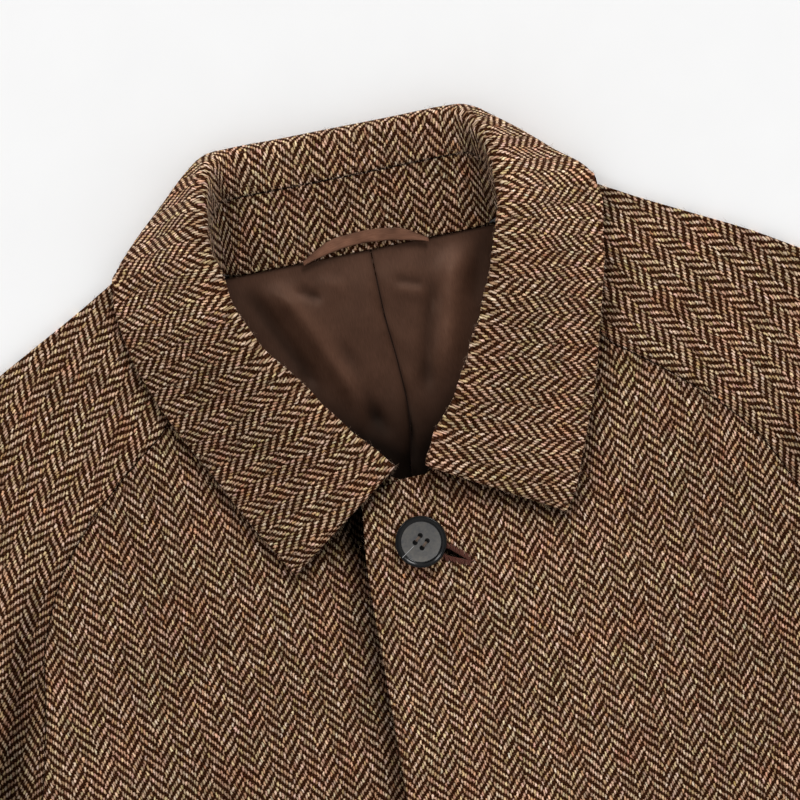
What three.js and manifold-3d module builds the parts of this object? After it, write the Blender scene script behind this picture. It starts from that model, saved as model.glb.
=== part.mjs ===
// A wool overcoat lying on its back, front up, with the top button done up. Millimetres, +Z up.
// The frame has x to the wearer's left, y from hem to collar and its origin at the back neck seam.
import * as THREE from 'three';
import { mergeVertices } from 'three/addons/utils/BufferGeometryUtils.js';
import Module from 'manifold-3d';

const wasm = await Module();
wasm.setup();

// Driving sizes
const CLOTH = 2.5; // overcoat cloth of a panel
const LINING = 1;
const STAND = 3.4; // collar stand, two layers of cloth
const FALL = 4; // turned-down collar, two layers of cloth
const SEAM = 0.3; // space between two pieces at a seam
const REST = 0.3; // space between two pieces that lie on each other
const HEM = -1080;
const LIFT = 22; // how far the fronts stand off the back at the neck
const LIFT_CENTRE = 2;
const LIFT_HALF_WIDTH = 130;
const EDGE_ROUND = 35; // width over which the cloth rounds down to a folded edge
const LEAST_LIFT = 0.4; // anything lower lies flat
// Air in a sleeve, round an axis from its upper arm down to the cuff
const SLEEVE_AIR = { x: 300, y: -220, slant: 0.405, length: 420, half: 80, height: 2.6 };
const LAP_STEP = { height: CLOTH + REST, from: 78, width: 40 }; // the lap comes down outside the button
// The lining's soft folds fade out at its top, its bottom and its sides
const LINING_EASE = { height: 1.2, top: 20, bottom: -150, rise: 40, side: 72, width: 14 };
const BUTTON = { x: 1.9, y: -142, radius: 12.5, rim: 2.6, face: 3, edge: 4.6, hole: 1.25, pitch: 4.2 };
const BUTTON_REST = 0.5; // the cloth under the button is slightly curved
const THREAD = 0.8; // half width of the button's thread
const HOLE = { x: 24, y: -155, width: 1.3, eye: 2.1 };
const STATIONS_BETWEEN = 2; // collar sections worked out between two rows of the table
const PRISM_DEPTH = 400; // more than the height of any piece
const LEAF_CLEAR = 0.7; // further space for the slant of a leaf's edge
const LEAF_RISE = 2; // a leaf's height over its edge where that strip starts
const LEAF_END = 0.9; // share of a leaf's width where its edge strip starts

// Share of the lift at each height of the garment
const LIFT_ROWS = [
  { y: 70, share: 0.3 },
  { y: 20, share: 0.55 },
  { y: -20, share: 0.78 },
  { y: -70, share: 0.95 },
  { y: -110, share: 1 },
  { y: -160, share: 0.93 },
  { y: -220, share: 0.7 },
  { y: -290, share: 0.3 },
  { y: -360, share: 0 },
  { y: -2000, share: 0 },
];

// Outlines of the right half of the picture, mirrored for the other half
const OVERARM = [
  { x: 68, y: 3 }, { x: 76, y: 14 }, { x: 100, y: 15 }, { x: 120, y: 10 }, { x: 137, y: 0 },
  { x: 165, y: -14.5 }, { x: 189, y: -27 }, { x: 208, y: -39 }, { x: 262, y: -72 },
  { x: 312, y: -112 }, { x: 356, y: -164 }, { x: 392, y: -226 }, { x: 420, y: -290 },
  { x: 547, y: -583 },
];
const CUFF_INNER = { x: 391, y: -634 };
const ARMPIT = { x: 288, y: -320 };
const HEM_CORNER = { x: 350, y: HEM };
const FRONT_RAGLAN = [
  { x: 79, y: -8 }, { x: 90, y: -35 }, { x: 107, y: -65 }, { x: 123, y: -76 }, { x: 140, y: -90 },
  { x: 153, y: -102 }, { x: 164, y: -114 }, { x: 173, y: -126 }, { x: 182, y: -145 },
  { x: 188, y: -160 }, { x: 192, y: -187 }, { x: 197, y: -208 }, { x: 203, y: -232 },
  { x: 222, y: -272 }, { x: 250, y: -300 }, ARMPIT,
];
const BACK_RAGLAN = [
  { x: 68, y: 1 }, { x: 96, y: -60 }, { x: 150, y: -140 }, { x: 196, y: -220 }, { x: 240, y: -285 },
  ARMPIT,
];
const LEFT_NECK = [
  { x: -79, y: -8 }, { x: -77, y: -22 }, { x: -69, y: -40 }, { x: -57, y: -58 }, { x: -42, y: -77 },
  { x: -26, y: -94 }, { x: -12, y: -105 }, { x: -3, y: -110.5 },
];
const RIGHT_NECK = [
  { x: 79, y: -8 }, { x: 77, y: -24 }, { x: 69, y: -44 }, { x: 58, y: -63 }, { x: 45, y: -80 },
  { x: 31, y: -96 }, { x: 19, y: -106 }, { x: 10, y: -110.5 },
];
const UNDERLAP = 28;
const LAP_EDGE = [
  { x: 2, y: -110.5 }, { x: -23, y: -114 }, { x: -23.5, y: -124 }, { x: -27, y: -149 },
  { x: -28, y: -200 }, { x: -29, y: -240 }, { x: -30, y: -262 }, { x: -30, y: HEM },
];

// Soft folds of the fronts and sleeves, along a line, with half width and height
const FOLDS = [
  { x1: 184, y1: -130, x2: 210, y2: -236, width: 6, height: -2.2 },
  { x1: -184, y1: -130, x2: -210, y2: -236, width: 6, height: -2.2 },
  { x1: 118, y1: -52, x2: 196, y2: -108, width: 14, height: 1.4 },
  { x1: -118, y1: -52, x2: -196, y2: -108, width: 14, height: 1.4 },
  { x1: 70, y1: -165, x2: 150, y2: -215, width: 20, height: 1.2 },
  { x1: -66, y1: -165, x2: -150, y2: -225, width: 20, height: 1.2 },
  { x1: -26, y1: -150, x2: -44, y2: -330, width: 10, height: -1 },
];
const LINING_FOLDS = [
  { x1: -52, y1: 6, x2: -34, y2: -80, width: 6, height: 3.2 },
  { x1: -28, y1: 6, x2: -14, y2: -100, width: 5, height: 2.6 },
  { x1: -6, y1: 6, x2: 0, y2: -112, width: 4, height: 2.2 },
  { x1: 17, y1: 6, x2: 17, y2: -112, width: 4, height: 2.4 },
  { x1: 36, y1: 6, x2: 27, y2: -90, width: 6, height: 3 },
  { x1: 55, y1: 6, x2: 44, y2: -60, width: 6, height: 2.6 },
];
const LINING_SEAM = [
  { x: 5.6, y: 0.8 }, { x: 5.8, y: -32 }, { x: 7.6, y: -52 }, { x: 8.5, y: -72 }, { x: 7.6, y: -89 },
  { x: 3.7, y: -106 }, { x: 3.7, y: -165 },
];

// Collar sections from the image's left end round the back to its right end. n is the neck seam,
// r the roll, q the turn of a tucked part and e the edge. A leaf row has tuck 0 and no q.
const COLLAR_ROWS = [
  { nx: -6, ny: -106, rx: -3, ry: -106.8, rz: 40.5, ex: -60.6, ey: -146, tuck: 0 },
  { nx: -14, ny: -100, rx: -13.2, ry: -94.7, rz: 41, ex: -73, ey: -125, tuck: 0 },
  { nx: -26, ny: -90, rx: -25.3, ry: -79.6, rz: 41.5, ex: -82, ey: -108, tuck: 0 },
  { nx: -38, ny: -78, rx: -35.3, ry: -64.7, rz: 42, ex: -90, ey: -91.5, tuck: 0 },
  { nx: -50, ny: -63, rx: -46.4, ry: -48.6, rz: 42.5, ex: -100, ey: -73, tuck: 0 },
  { nx: -62, ny: -46, rx: -56.4, ry: -34.5, rz: 43, ex: -108.5, ey: -54, tuck: 0 },
  { nx: -71, ny: -31, rx: -63.4, ry: -18.4, rz: 43.5, ex: -116.5, ey: -32, tuck: 0 },
  { nx: -75, ny: -20, rx: -66.5, ry: -6.2, rz: 43.5, ex: -120, ey: -14, tuck: 0 },
  { nx: -76.6, ny: -12, rx: -67.5, ry: 4, rz: 43, ex: -120.9, ey: 0, tuck: 0 },
  { nx: -77, ny: -4, nz: 19, rx: -70.3, ry: 12.5, rz: 42, qx: -117.5, qy: 9, qz: 11, ex: -118, ey: 7.5,
    ez: 9, tuck: 0.5 },
  { nx: -75, ny: 2, nz: 17, rx: -70.5, ry: 21, rz: 40, qx: -112, qy: 16.5, qz: 10.5, ex: -108, ey: 18,
    ez: 5, tuck: 1 },
  { nx: -72.5, ny: 5, nz: 14, rx: -69.8, ry: 30, rz: 36.5, qx: -102, qy: 27, qz: 10, ex: -97, ey: 22.5,
    ez: 2.4, tuck: 1 },
  { nx: -70, ny: 5.5, nz: 10, rx: -68, ry: 40, rz: 31, qx: -88.5, qy: 39.3, qz: 10, ex: -84, ey: 27,
    ez: 2.4, tuck: 1 },
  { nx: -67, ny: 4, nz: 7, rx: -65.5, ry: 48, rz: 25, qx: -75, qy: 50.5, qz: 10, ex: -72, ey: 30,
    ez: 2.4, tuck: 1 },
  { nx: -63, ny: 2.6, nz: 4.6, rx: -61.5, ry: 53, rz: 19, qx: -65, qy: 57, qz: 9.5, ex: -62, ey: 22,
    ez: 2.4, tuck: 1 },
  { nx: -55, ny: 1.9, nz: 3.9, rx: -54, ry: 55, rz: 15.5, qx: -55, qy: 58.4, qz: 9, ex: -54, ey: 14,
    ez: 2.4, tuck: 1 },
  { nx: -28, ny: 1.7, nz: 3.8, rx: -28, ry: 55, rz: 14.5, qx: -28, qy: 58, qz: 8.8, ex: -28, ey: 12,
    ez: 2.4, tuck: 1 },
  { nx: 0, ny: 1.6, nz: 3.8, rx: 0, ry: 55, rz: 14.5, qx: 0, qy: 58, qz: 8.8, ex: 0, ey: 12,
    ez: 2.4, tuck: 1 },
  { nx: 28, ny: 1.7, nz: 3.8, rx: 28, ry: 55, rz: 14.5, qx: 28, qy: 58, qz: 8.8, ex: 28, ey: 12,
    ez: 2.4, tuck: 1 },
  { nx: 55, ny: 1.9, nz: 3.9, rx: 55, ry: 55, rz: 15.5, qx: 56, qy: 58, qz: 9, ex: 54, ey: 14,
    ez: 2.4, tuck: 1 },
  { nx: 63, ny: 2.6, nz: 4.6, rx: 62.5, ry: 53, rz: 19, qx: 66.5, qy: 55.5, qz: 9.5, ex: 62, ey: 22,
    ez: 2.4, tuck: 1 },
  { nx: 67, ny: 4, nz: 7, rx: 67, ry: 47.5, rz: 25, qx: 76, qy: 49, qz: 10, ex: 72, ey: 30,
    ez: 2.4, tuck: 1 },
  { nx: 70, ny: 5.5, nz: 10, rx: 70.5, ry: 39.5, rz: 31, qx: 88, qy: 40.5, qz: 10, ex: 84, ey: 27,
    ez: 2.4, tuck: 1 },
  { nx: 72.5, ny: 5, nz: 14, rx: 71.6, ry: 30, rz: 36.5, qx: 101, qy: 28.5, qz: 10, ex: 97, ey: 22.5,
    ez: 2.4, tuck: 1 },
  { nx: 75, ny: 2, nz: 17, rx: 71.7, ry: 20.5, rz: 40, qx: 111.5, qy: 20, qz: 10.5, ex: 108, ey: 18,
    ez: 5, tuck: 1 },
  { nx: 77, ny: -4, nz: 19, rx: 71.3, ry: 10.5, rz: 42, qx: 116.8, qy: 12, qz: 11, ex: 117.5, ey: 11,
    ez: 9, tuck: 0.5 },
  { nx: 76.6, ny: -13, rx: 68.8, ry: 1.8, rz: 43, ex: 120, ey: 2.5, tuck: 0 },
  { nx: 75, ny: -22, rx: 65.8, ry: -7.4, rz: 43.5, ex: 117.5, ey: -12, tuck: 0 },
  { nx: 71.5, ny: -33, rx: 61.6, ry: -18.4, rz: 43.5, ex: 114, ey: -30, tuck: 0 },
  { nx: 63, ny: -50, rx: 52.5, ry: -39.5, rz: 43, ex: 106.5, ey: -57, tuck: 0 },
  { nx: 53, ny: -66, rx: 43.4, ry: -56.5, rz: 42.5, ex: 99, ey: -83, tuck: 0 },
  { nx: 42, ny: -79.5, rx: 33.3, ry: -74.6, rz: 42, ex: 91, ey: -104, tuck: 0 },
  { nx: 33.5, ny: -89, rx: 24.3, ry: -86.6, rz: 41.5, ex: 85, ey: -118, tuck: 0 },
  { nx: 24.5, ny: -98, rx: 17.3, ry: -95.7, rz: 41, ex: 79.5, ey: -132, tuck: 0 },
  { nx: 14.5, ny: -105.5, rx: 12.3, ry: -107.6, rz: 40.5, ex: 72.6, ey: -141.6, tuck: 0 },
];
// Where the stand meets the fall, between neck seam and roll
const SEAM_SHARE = { leaf: 0.45, back: 0.66 };
const SEAM_RISE = 1.4;
const STAND_END = 1.15; // how far the stand stops short of that seam
const PROFILE = [ // between the roll and the turn or edge strip
  { along: 0.12, height: 1.01 },
  { along: 0.35, height: 0.83 },
  { along: 0.68, height: 0.36 },
];
const UNDER_PROFILE = [ // from there to the edge
  { leafAlong: 0.3, leafHeight: 0.7, tuckAlong: 0.07, tuckHeight: 0.15 },
  { leafAlong: 0.65, leafHeight: 0.35, tuckAlong: 0.5, tuckHeight: 0 },
];
const INNER_STEP = { along: 0.55, height: 0.62 }; // between the seam and the roll
const STAND_LOW = { along: 0.35, rise: 0.5 }; // the stand's bend above the neck seam
const LOOP_ROWS = [
  { x: -30, y: 2.2 }, { x: -24, y: 4.6 }, { x: -14, y: 6.2 }, { x: 3, y: 6.9 }, { x: 20, y: 6.2 },
  { x: 30, y: 4.6 }, { x: 36, y: 2.2 },
];
const LOOP = { width: 6.4, thick: 1.2, over: 0.55 };

const COLOURS = { tweed: 0x7a5f45, lining: 0x40302a, loop: 0x69503f, button: 0x2b2a2c };
const ROUGHNESS = { tweed: 0.95, lining: 0.4, loop: 0.6, button: 0.25 };

// Small helpers
const mirror = (rows) => rows.map((p) => ({ x: -p.x, y: p.y }));
const mix = (a, b, t) => a + (b - a) * t;
const smooth = (t) => {
  const c = Math.min(1, Math.max(0, t));
  return c * c * (3 - 2 * c);
};
function fromRows(rows, key, y) {
  for (let i = 0; i + 1 < rows.length; i += 1) {
    if (y >= rows[i + 1].y) {
      const t = (rows[i].y - Math.min(y, rows[i].y)) / (rows[i].y - rows[i + 1].y);
      return mix(rows[i][key], rows[i + 1][key], smooth(t));
    }
  }
  return rows[rows.length - 1][key];
}
function segmentDistance(x, y, a, b) {
  const dx = b.x - a.x;
  const dy = b.y - a.y;
  const t = Math.min(1, Math.max(0, ((x - a.x) * dx + (y - a.y) * dy) / (dx * dx + dy * dy)));
  return Math.hypot(x - a.x - dx * t, y - a.y - dy * t);
}
function lineDistance(x, y, rows) {
  let best = Infinity;
  for (let i = 0; i + 1 < rows.length; i += 1) {
    best = Math.min(best, segmentDistance(x, y, rows[i], rows[i + 1]));
  }
  return best;
}
function foldHeight(x, y, rows) {
  let height = 0;
  for (const f of rows) {
    const dx = f.x2 - f.x1;
    const dy = f.y2 - f.y1;
    const length = Math.hypot(dx, dy);
    const t = ((x - f.x1) * dx + (y - f.y1) * dy) / (length * length);
    const across = ((x - f.x1) * dy - (y - f.y1) * dx) / length;
    const ends = smooth(t / 0.25) * smooth((1 - t) / 0.25);
    height += f.height * ends * Math.exp(-((across / f.width) ** 2));
  }
  return height;
}

// Underside height of the upper layer, at any place of the garment
function layerHeight(x, y) {
  const ax = Math.abs(x);
  const edge = smooth(lineDistance(ax, y, OVERARM) / EDGE_ROUND);
  const spread = Math.exp(-(((x - LIFT_CENTRE) / LIFT_HALF_WIDTH) ** 2));
  const lift = LIFT * fromRows(LIFT_ROWS, 'share', y) * spread;
  const air = SLEEVE_AIR;
  const sin = Math.sin(air.slant);
  const cos = Math.cos(air.slant);
  const along = ((ax - air.x) * sin - (y - air.y) * cos) / air.length;
  const across = ((ax - air.x) * cos + (y - air.y) * sin) / air.half;
  const inSleeve = smooth((along + 0.25) / 0.3) * smooth((1 - along) / 0.2);
  const puff = air.height * inSleeve * Math.max(0, 1 - across * across);
  const folds = foldHeight(x, y, FOLDS);
  const shaped = (lift + folds * smooth((lift + puff) / 3)) * edge + puff;
  return CLOTH + REST + (shaped < LEAST_LIFT ? 0 : shaped);
}
function lapHeight(x, y) {
  return layerHeight(x, y) + LAP_STEP.height * smooth((LAP_STEP.from - x) / LAP_STEP.width);
}
function liningHeight(x, y) {
  const { height, top, bottom, rise, side, width } = LINING_EASE;
  const fade = smooth(-y / top) * smooth((y - bottom) / rise) * smooth((side - Math.abs(x)) / width);
  return CLOTH + REST + Math.max(0, height + foldHeight(x, y, LINING_FOLDS)) * fade;
}

// Grid lines shared by all flat pieces, so that stacked pieces keep their distance
function gridLines(rows) {
  const lines = [rows[0].from];
  for (const row of rows) {
    const count = Math.round((row.to - row.from) / row.step);
    for (let i = 1; i <= count; i += 1) {
      lines.push(row.from + ((row.to - row.from) * i) / count);
    }
  }
  return lines;
}
const XS = gridLines([
  { from: -570, to: -240, step: 33 }, { from: -240, to: 240, step: 16 }, { from: 240, to: 570, step: 33 },
]);
const YS = gridLines([
  { from: HEM - 10, to: -400, step: 172 }, { from: -400, to: -240, step: 32 },
  { from: -240, to: 36, step: 15 },
]);
const LINING_XS = gridLines([{ from: -80, to: 80, step: 5 }]);
const LINING_YS = gridLines([{ from: -170, to: 10, step: 22 }]);

function manifoldOf(positions, indices) {
  const mesh = new wasm.Mesh({
    numProp: 3,
    vertProperties: new Float32Array(positions),
    triVerts: new Uint32Array(indices),
  });
  return new wasm.Manifold(mesh);
}
function solidOf(source) {
  const bare = source.clone();
  bare.deleteAttribute('normal');
  bare.deleteAttribute('uv');
  const merged = mergeVertices(bare);
  return manifoldOf(merged.getAttribute('position').array, merged.getIndex().array);
}
function slab(xs, ys, height, thickness) {
  const positions = [];
  const indices = [];
  const layer = xs.length * ys.length;
  for (const extra of [0, thickness]) {
    for (const y of ys) {
      for (const x of xs) {
        positions.push(x, y, height(x, y) + extra);
      }
    }
  }
  const at = (i, j, top) => top * layer + j * xs.length + i;
  const quad = (a, b, c, d) => indices.push(a, b, c, a, c, d);
  for (let j = 0; j + 1 < ys.length; j += 1) {
    for (let i = 0; i + 1 < xs.length; i += 1) {
      indices.push(at(i, j, 1), at(i + 1, j, 1), at(i + 1, j + 1, 1));
      indices.push(at(i, j, 1), at(i + 1, j + 1, 1), at(i, j + 1, 1));
      indices.push(at(i, j, 0), at(i + 1, j + 1, 0), at(i + 1, j, 0));
      indices.push(at(i, j, 0), at(i, j + 1, 0), at(i + 1, j + 1, 0));
    }
  }
  const nx = xs.length - 1;
  const ny = ys.length - 1;
  for (let i = 0; i < nx; i += 1) {
    quad(at(i, 0, 0), at(i + 1, 0, 0), at(i + 1, 0, 1), at(i, 0, 1));
    quad(at(i + 1, ny, 0), at(i, ny, 0), at(i, ny, 1), at(i + 1, ny, 1));
  }
  for (let j = 0; j < ny; j += 1) {
    quad(at(nx, j, 0), at(nx, j + 1, 0), at(nx, j + 1, 1), at(nx, j, 1));
    quad(at(0, j + 1, 0), at(0, j, 0), at(0, j, 1), at(0, j + 1, 1));
  }
  return manifoldOf(positions, indices);
}
function insetOutline(rows, inset) {
  return rows.map((p, i) => {
    const before = rows[(i + rows.length - 1) % rows.length];
    const after = rows[(i + 1) % rows.length];
    const a = new THREE.Vector2(p.x - before.x, p.y - before.y).normalize();
    const b = new THREE.Vector2(after.x - p.x, after.y - p.y).normalize();
    const inward = new THREE.Vector2(-a.y - b.y, a.x + b.x).normalize();
    const reach = inset / Math.max(0.4, inward.x * -a.y + inward.y * a.x);
    return new THREE.Vector2(p.x + inward.x * reach, p.y + inward.y * reach);
  });
}
function outlinePrism(rows, bottom, depth) {
  const around = THREE.ShapeUtils.area(rows) < 0 ? [...rows].reverse() : rows;
  const shape = new THREE.Shape(insetOutline(around, SEAM / 2));
  const prism = new THREE.ExtrudeGeometry(shape, { depth, bevelEnabled: false });
  return solidOf(prism.translate(0, 0, bottom));
}
function panel(outline, height, thickness, xs = XS, ys = YS) {
  return slab(xs, ys, height, thickness).intersect(outlinePrism(outline, -PRISM_DEPTH / 2, PRISM_DEPTH));
}

// Closed sheet of even thickness about a grid of points
function thickSheet(grid, thickness) {
  const rows = grid.length;
  const cols = grid[0].length;
  const positions = [];
  const indices = [];
  for (const side of [1, -1]) {
    for (let i = 0; i < rows; i += 1) {
      for (let j = 0; j < cols; j += 1) {
        const along = grid[Math.min(i + 1, rows - 1)][j].clone().sub(grid[Math.max(i - 1, 0)][j]);
        const across = grid[i][Math.min(j + 1, cols - 1)].clone().sub(grid[i][Math.max(j - 1, 0)]);
        const normal = along.cross(across).normalize();
        const p = grid[i][j].clone().addScaledVector(normal, (side * thickness) / 2);
        positions.push(p.x, p.y, p.z);
      }
    }
  }
  const layer = rows * cols;
  const at = (i, j, under) => under * layer + i * cols + j;
  const quad = (a, b, c, d) => indices.push(a, b, c, a, c, d);
  for (let i = 0; i + 1 < rows; i += 1) {
    for (let j = 0; j + 1 < cols; j += 1) {
      quad(at(i, j, 0), at(i + 1, j, 0), at(i + 1, j + 1, 0), at(i, j + 1, 0));
      quad(at(i, j, 1), at(i, j + 1, 1), at(i + 1, j + 1, 1), at(i + 1, j, 1));
    }
  }
  for (let i = 0; i + 1 < rows; i += 1) {
    quad(at(i, 0, 0), at(i, 0, 1), at(i + 1, 0, 1), at(i + 1, 0, 0));
    quad(at(i + 1, cols - 1, 0), at(i + 1, cols - 1, 1), at(i, cols - 1, 1), at(i, cols - 1, 0));
  }
  for (let j = 0; j + 1 < cols; j += 1) {
    quad(at(0, j + 1, 0), at(0, j + 1, 1), at(0, j, 1), at(0, j, 0));
    quad(at(rows - 1, j, 0), at(rows - 1, j, 1), at(rows - 1, j + 1, 1), at(rows - 1, j + 1, 0));
  }
  return manifoldOf(positions, indices);
}

function toGeometry(solid) {
  const mesh = solid.getMesh();
  const geometry = new THREE.BufferGeometry();
  const positions = [];
  for (let i = 0; i < mesh.numVert; i += 1) {
    positions.push(...mesh.position(i));
  }
  geometry.setAttribute('position', new THREE.Float32BufferAttribute(positions, 3));
  geometry.setIndex([...mesh.triVerts]);
  geometry.computeVertexNormals();
  return geometry;
}

// Flat pieces
function back() {
  const outline = [
    { x: -68, y: 1 }, { x: 68, y: 1 }, ...BACK_RAGLAN.slice(1), HEM_CORNER,
    ...mirror([HEM_CORNER]), ...mirror(BACK_RAGLAN.slice(1)).reverse(),
  ];
  return outlinePrism(outline, 0, CLOTH);
}
function sleeveBack(side) {
  const outline = [...OVERARM, CUFF_INNER, ...BACK_RAGLAN.slice(1).reverse()];
  return outlinePrism(side > 0 ? outline : mirror(outline), 0, CLOTH);
}
function sleeveFront(side) {
  const outline = [...OVERARM.slice(1), CUFF_INNER, ...[...FRONT_RAGLAN].reverse()];
  return panel(side > 0 ? outline : mirror(outline), layerHeight, CLOTH);
}
function frontUnder() {
  const outline = [
    ...LEFT_NECK, { x: UNDERLAP, y: -116 }, { x: UNDERLAP, y: HEM }, { x: -HEM_CORNER.x, y: HEM },
    ...mirror(FRONT_RAGLAN.slice(1)).reverse(),
  ];
  return panel(outline, layerHeight, CLOTH);
}
function buttonhole() {
  const length = Math.hypot(HOLE.x - BUTTON.x, HOLE.y - BUTTON.y);
  const angle = Math.atan2(HOLE.y - BUTTON.y, HOLE.x - BUTTON.x);
  const slot = new THREE.BoxGeometry(length, HOLE.width, PRISM_DEPTH).translate(length / 2, 0, 0);
  const eye = new THREE.CylinderGeometry(HOLE.eye, HOLE.eye, PRISM_DEPTH, 16).rotateX(Math.PI / 2);
  const stand = (shape) => solidOf(shape.rotateZ(angle).translate(BUTTON.x, BUTTON.y, 0));
  return stand(slot).add(stand(eye));
}
function frontOver() {
  const outline = [
    ...RIGHT_NECK, ...LAP_EDGE, HEM_CORNER, ...FRONT_RAGLAN.slice(1).reverse(),
  ];
  return panel(outline, lapHeight, CLOTH).subtract(buttonhole());
}
function lining(side) {
  const far = [{ x: side * 56, y: -165 }, { x: side * 74, y: -60 }, { x: side * 74, y: -12 },
    { x: side * 68, y: 0.8 }];
  return panel([...LINING_SEAM, ...far], liningHeight, LINING, LINING_XS, LINING_YS);
}

// Collar sections
function collarSection(row, side) {
  const cloth = side < 0 ? layerHeight : lapHeight;
  const neckZ = row.nz === undefined ? cloth(row.nx, row.ny) + CLOTH / 2 : row.nz;
  const edgeZ = row.ez === undefined ? cloth(row.ex, row.ey) + CLOTH + REST + FALL / 2 + LEAF_CLEAR : row.ez;
  const leaf = row.qx === undefined;
  const n = new THREE.Vector3(row.nx, row.ny, neckZ);
  const r = new THREE.Vector3(row.rx, row.ry, row.rz);
  const e = new THREE.Vector3(row.ex, row.ey, edgeZ);
  const strip = r.clone().lerp(e, LEAF_END).setZ(edgeZ + LEAF_RISE);
  const q = leaf ? strip : new THREE.Vector3(row.qx, row.qy, row.qz);
  return { n, r, q, e, tuck: row.tuck };
}
function between(a, b, c, d, t) {
  const curve = (k) => {
    const m0 = (c[k] - a[k]) / 2;
    const m1 = (d[k] - b[k]) / 2;
    const u = t * t;
    const v = u * t;
    return (2 * v - 3 * u + 1) * b[k] + (v - 2 * u + t) * m0 + (3 * u - 2 * v) * c[k] + (v - u) * m1;
  };
  return new THREE.Vector3(curve('x'), curve('y'), curve('z'));
}
function collarSections() {
  const rows = COLLAR_ROWS.map((row, i) => collarSection(row, i < COLLAR_ROWS.length / 2 ? -1 : 1));
  const sections = [];
  for (let i = 0; i + 1 < rows.length; i += 1) {
    const near = [rows[Math.max(i - 1, 0)], rows[i], rows[i + 1], rows[Math.min(i + 2, rows.length - 1)]];
    for (let k = 0; k < STATIONS_BETWEEN; k += 1) {
      const t = k / STATIONS_BETWEEN;
      const section = { tuck: mix(rows[i].tuck, rows[i + 1].tuck, t) };
      for (const key of ['n', 'r', 'q', 'e']) {
        section[key] = between(...near.map((row) => row[key]), t);
      }
      sections.push(section);
    }
  }
  sections.push(rows[rows.length - 1]);
  return sections;
}
function seamPoint(section) {
  const share = mix(SEAM_SHARE.leaf, SEAM_SHARE.back, section.tuck);
  const point = section.n.clone().lerp(section.r, share);
  point.z += SEAM_RISE * section.tuck;
  return point;
}
function fallLine(section) {
  const { r, q, e, tuck } = section;
  const s = seamPoint(section);
  const line = [s, s.clone().lerp(r, INNER_STEP.along).setZ(mix(s.z, r.z, INNER_STEP.height)), r];
  for (const step of PROFILE) {
    const p = r.clone().lerp(q, step.along);
    p.z = mix(q.z, r.z, step.height);
    line.push(p);
  }
  line.push(q);
  for (const step of UNDER_PROFILE) {
    const p = q.clone().lerp(e, mix(step.leafAlong, step.tuckAlong, tuck));
    p.z = mix(e.z, q.z, mix(step.leafHeight, step.tuckHeight, tuck));
    line.push(p);
  }
  line.push(e);
  return line;
}
function standLine(section) {
  const s = seamPoint(section);
  const low = section.n.clone().lerp(s, STAND_LOW.along);
  low.z += STAND_LOW.rise;
  const direction = s.clone().sub(low).normalize();
  return [section.n, low, s.addScaledVector(direction, -STAND_END)];
}
const SECTIONS = collarSections();
const collarFall = () => thickSheet(SECTIONS.map(fallLine), FALL);
const collarStand = () => thickSheet(SECTIONS.map(standLine), STAND);

// Hanger loop, a narrow strip that follows the stand
function standTop(y) {
  const section = SECTIONS[Math.floor(SECTIONS.length / 2)];
  const line = standLine(section);
  const k = y < line[1].y ? 0 : 1;
  const t = Math.max(0, (y - line[k].y) / (line[k + 1].y - line[k].y));
  return mix(line[k].z, line[k + 1].z, t) + STAND / 2;
}
function hangerLoop() {
  const grid = LOOP_ROWS.map((row) => {
    const half = LOOP.width / 2;
    return [half, 0, -half].map((off) => {
      const y = row.y + off;
      return new THREE.Vector3(row.x, y, standTop(y) + LOOP.over + LOOP.thick / 2);
    });
  });
  return thickSheet(grid, LOOP.thick);
}

// Button with a raised rim, four holes and its thread through the buttonhole
function upright(low, high, bottom, top, sides) {
  const round = new THREE.CylinderGeometry(high, low, top - bottom, sides);
  return round.rotateX(Math.PI / 2).translate(0, 0, (top + bottom) / 2);
}
function button() {
  const { radius, rim, face, edge, hole, pitch } = BUTTON;
  const body = solidOf(upright(radius, radius - 0.5, 0, edge, 40));
  const dish = solidOf(upright(radius - rim, radius - rim + 0.4, face, edge + 1, 40));
  let solid = body.subtract(dish);
  for (const [sx, sy] of [[1, 1], [1, -1], [-1, 1], [-1, -1]]) {
    const bore = upright(hole, hole, -1, edge + 1, 12).translate((sx * pitch) / 2, (sy * pitch) / 2, 0);
    solid = solid.subtract(solidOf(bore));
  }
  return solid.add(solidOf(upright(THREAD, THREAD, -CLOTH - REST * 2, 0.5, 12)));
}

function material(slot) {
  return new THREE.MeshStandardMaterial({
    color: COLOURS[slot], roughness: ROUGHNESS[slot], metalness: 0, name: slot,
  });
}
const group = new THREE.Group();
group.name = 'overcoat';
function place(name, solid, slot) {
  const mesh = new THREE.Mesh(toGeometry(solid), material(slot));
  mesh.name = name;
  group.add(mesh);
  return mesh;
}
place('back', back(), 'tweed');
place('sleeve_left_back', sleeveBack(1), 'tweed');
place('sleeve_right_back', sleeveBack(-1), 'tweed');
place('sleeve_left_front', sleeveFront(1), 'tweed');
place('sleeve_right_front', sleeveFront(-1), 'tweed');
place('front_right', frontUnder(), 'tweed');
place('front_left', frontOver(), 'tweed');
place('lining_back_left', lining(1), 'lining');
place('lining_back_right', lining(-1), 'lining');
place('collar_stand', collarStand(), 'tweed');
place('collar_fall', collarFall(), 'tweed');
place('hanger_loop', hangerLoop(), 'loop');

// The button leans with the cloth it lies on
const { x, y, radius } = BUTTON;
const slopeX = (lapHeight(x + radius, y) - lapHeight(x - radius, y)) / (2 * radius);
const slopeY = (lapHeight(x, y + radius) - lapHeight(x, y - radius)) / (2 * radius);
const buttonMesh = place('button', button(), 'button');
buttonMesh.position.set(x, y, lapHeight(x, y) + CLOTH + BUTTON_REST);
buttonMesh.quaternion.setFromUnitVectors(
  new THREE.Vector3(0, 0, 1),
  new THREE.Vector3(-slopeX, -slopeY, 1).normalize(),
);

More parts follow.
